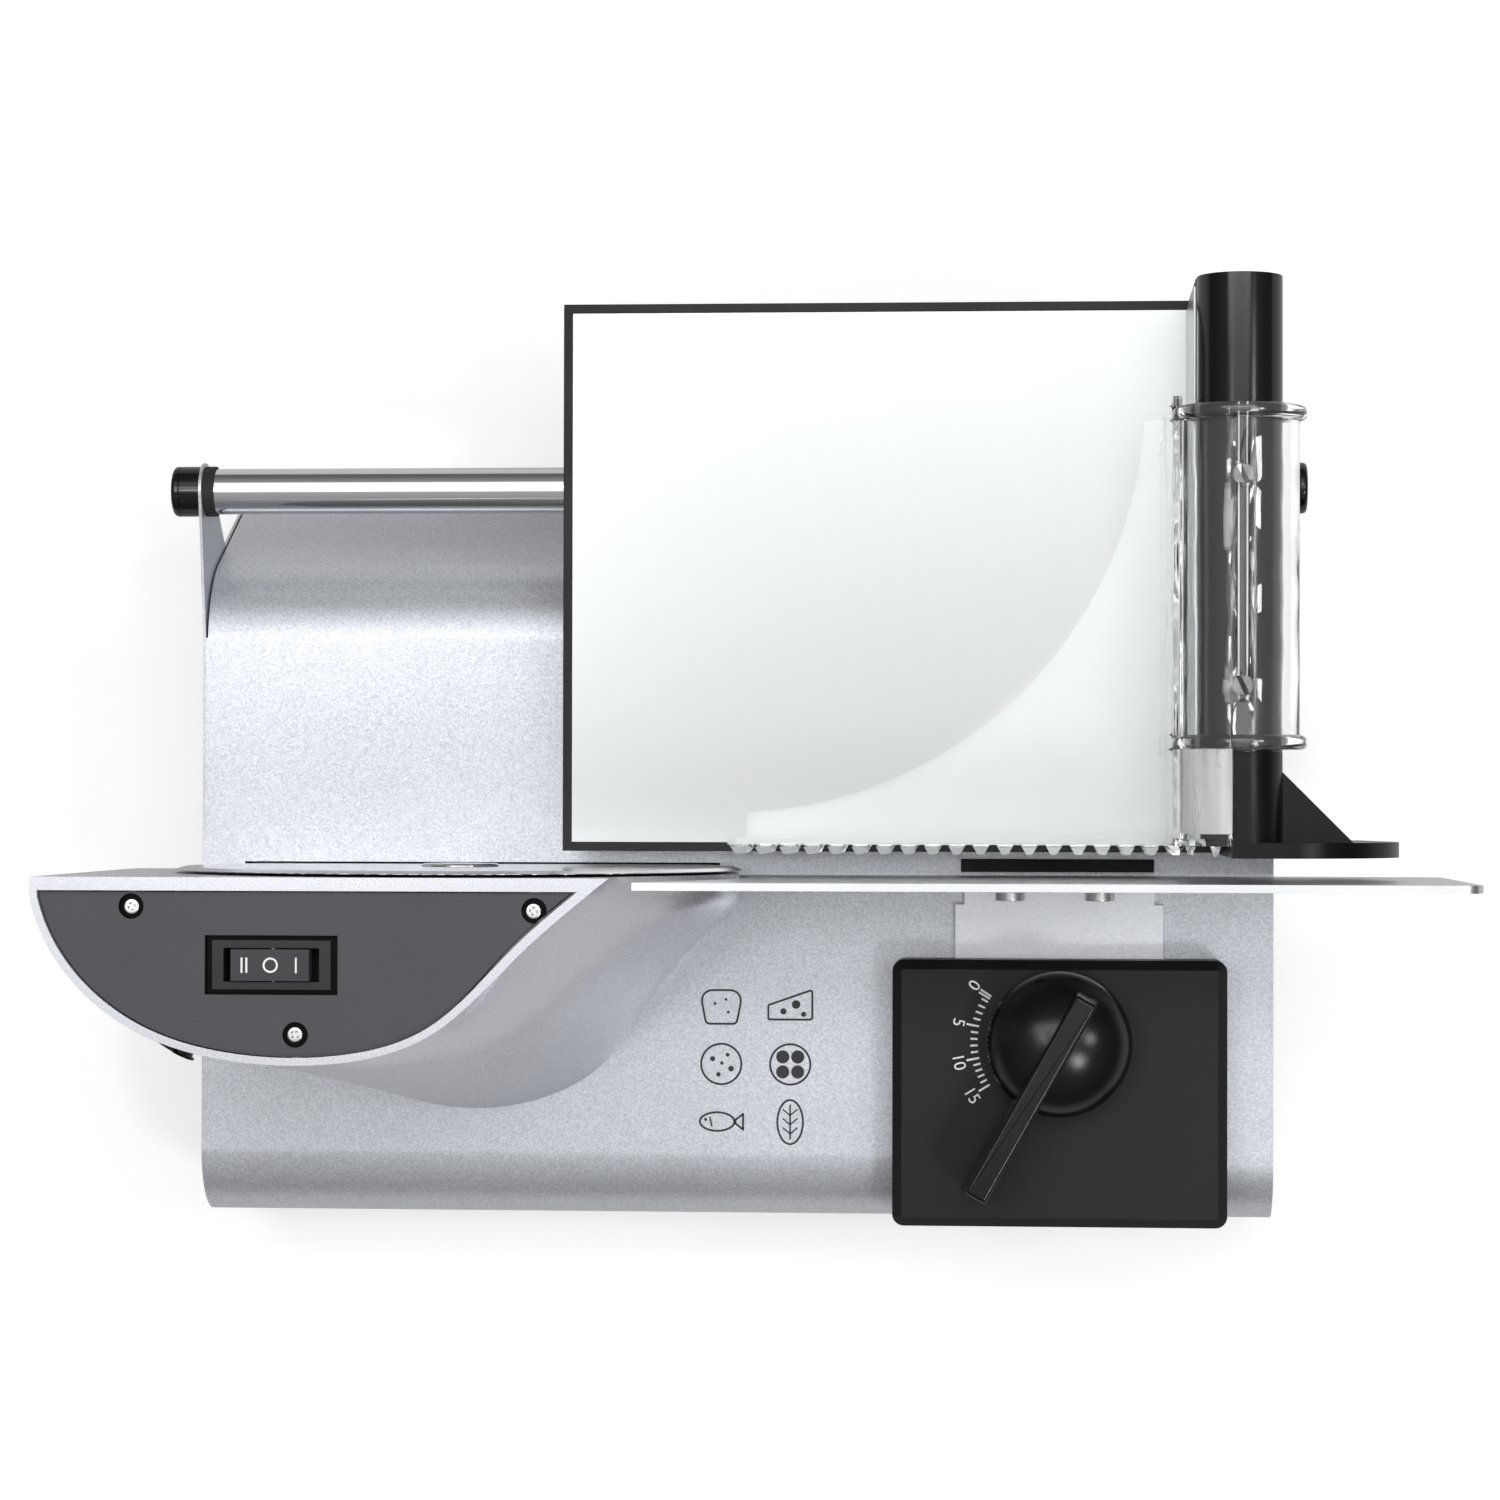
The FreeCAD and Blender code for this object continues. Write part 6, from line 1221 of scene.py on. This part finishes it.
class SLICER_OT_plate(bpy.types.Operator):
    """Stop plate with its sliding carrier"""
    bl_idname = "slicer.plate"
    bl_label = "Stop plate"

    def execute(self, context):
        skin("stop_plate", bevel=0.35, segments=3)
        skin("plate_carrier", bevel=chosen("edge"), segments=3)
        skin("plate_buffer", bevel=0.3)
        skin("plate_bolts", bevel=0.25)
        paint("guide_screws")
        return {"FINISHED"}


class SLICER_OT_blade(bpy.types.Operator):
    """Round blade and its locking screw"""
    bl_idname = "slicer.blade"
    bl_label = "Blade"

    def execute(self, context):
        skin("blade", angle=12)
        skin("blade_lock_screw", bevel=0.25)
        return {"FINISHED"}


class SLICER_OT_rod(bpy.types.Operator):
    """Slide rod with its end caps and collars"""
    bl_idname = "slicer.rod"
    bl_label = "Slide rod"

    def execute(self, context):
        skin("slide_rod", bevel=0.3)
        skin("rod_caps", bevel=0.7, segments=3)
        skin("rod_collars", bevel=0.4)
        return {"FINISHED"}


class SLICER_OT_carriage(bpy.types.Operator):
    """Tray with its sheet, slide block, handle tube and thumb guard"""
    bl_idname = "slicer.carriage"
    bl_label = "Carriage"

    def execute(self, context):
        skin("tray_frame", bevel=0.25)
        skin("tray_sheet", bevel=0.12)
        skin("slide_block", bevel=0.4)
        skin("handle_tube", bevel=0.35)
        skin("tube_plug", bevel=chosen("moulding"))
        skin("thumb_guard", bevel=0.3, material=finish("guard"))
        skin("glide_pads", bevel=0.3)
        paint("slide_bushes", "block_screws", "guard_screws")
        return {"FINISHED"}


class SLICER_OT_holder(bpy.types.Operator):
    """Clear food holder with its liners"""
    bl_idname = "slicer.holder"
    bl_label = "Food holder"

    def execute(self, context):
        skin("pusher", bevel=0.3, angle=30, shape=self.round_flanges)
        skin("guide_liners", bevel=0.15)
        return {"FINISHED"}

    def round_flanges(self, obj):
        """Round the rims of the sleeve's two flanges."""
        axis = PIVOT["holder_swing"]
        low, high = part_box("guide_liners")

        def on_rim(vertex):
            reach = math.hypot(vertex.co.x - axis.x, vertex.co.z - axis.z)
            return reach > FLANGE_RIM * MM and low.y - MM < vertex.co.y < high.y + MM

        choose(obj, "edges", lambda edge: all(on_rim(vertex) for vertex in edge.verts)
               and abs(edge.verts[0].co.y - edge.verts[1].co.y) < SAME
               and edge.calc_length() < FLANGE_STEP * MM)
        bpy.ops.mesh.bevel(offset=FLANGE_ROUND * MM, segments=4)


class SLICER_OT_drive(bpy.types.Operator):
    """Finishes of the motor, worm drive and cam inside"""
    bl_idname = "slicer.drive"
    bl_label = "Drive"

    def execute(self, context):
        paint(*(node for node, obj in NODES.items() if not obj.hide_render))
        return {"FINISHED"}


class SLICER_PT_panel(bpy.types.Panel):
    """Sizes, colours and the operators in their order"""
    bl_idname = "SLICER_PT_panel"
    bl_label = "Food slicer"
    bl_space_type = "VIEW_3D"
    bl_region_type = "UI"
    bl_category = "Slicer"

    def draw(self, context):
        for group in (context.scene.slicer_sizes, context.scene.slicer_colours):
            for name in group.__annotations__:
                self.layout.prop(group, name)
        for operator in OPERATORS:
            self.layout.operator(operator.bl_idname)


OPERATORS = (SLICER_OT_studio, SLICER_OT_base, SLICER_OT_housing, SLICER_OT_switch, SLICER_OT_dial,
             SLICER_OT_icons, SLICER_OT_plate, SLICER_OT_blade, SLICER_OT_rod, SLICER_OT_carriage,
             SLICER_OT_holder, SLICER_OT_drive)
CLASSES = (SlicerSizes, SlicerColours) + OPERATORS + (SLICER_PT_panel,)


def register():
    """Make the classes and their values known."""
    for cls in CLASSES:
        bpy.utils.register_class(cls)
    bpy.types.Scene.slicer_sizes = bpy.props.PointerProperty(type=SlicerSizes)
    bpy.types.Scene.slicer_colours = bpy.props.PointerProperty(type=SlicerColours)


def unregister():
    """Take them away again."""
    del bpy.types.Scene.slicer_colours
    del bpy.types.Scene.slicer_sizes
    for cls in reversed(CLASSES):
        bpy.utils.unregister_class(cls)


def main():
    """Build all pieces in order."""
    register()
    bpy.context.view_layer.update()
    for operator in OPERATORS:
        group, name = operator.bl_idname.split(".")
        getattr(getattr(bpy.ops, group), name)()


if __name__ == "__main__":
    main()
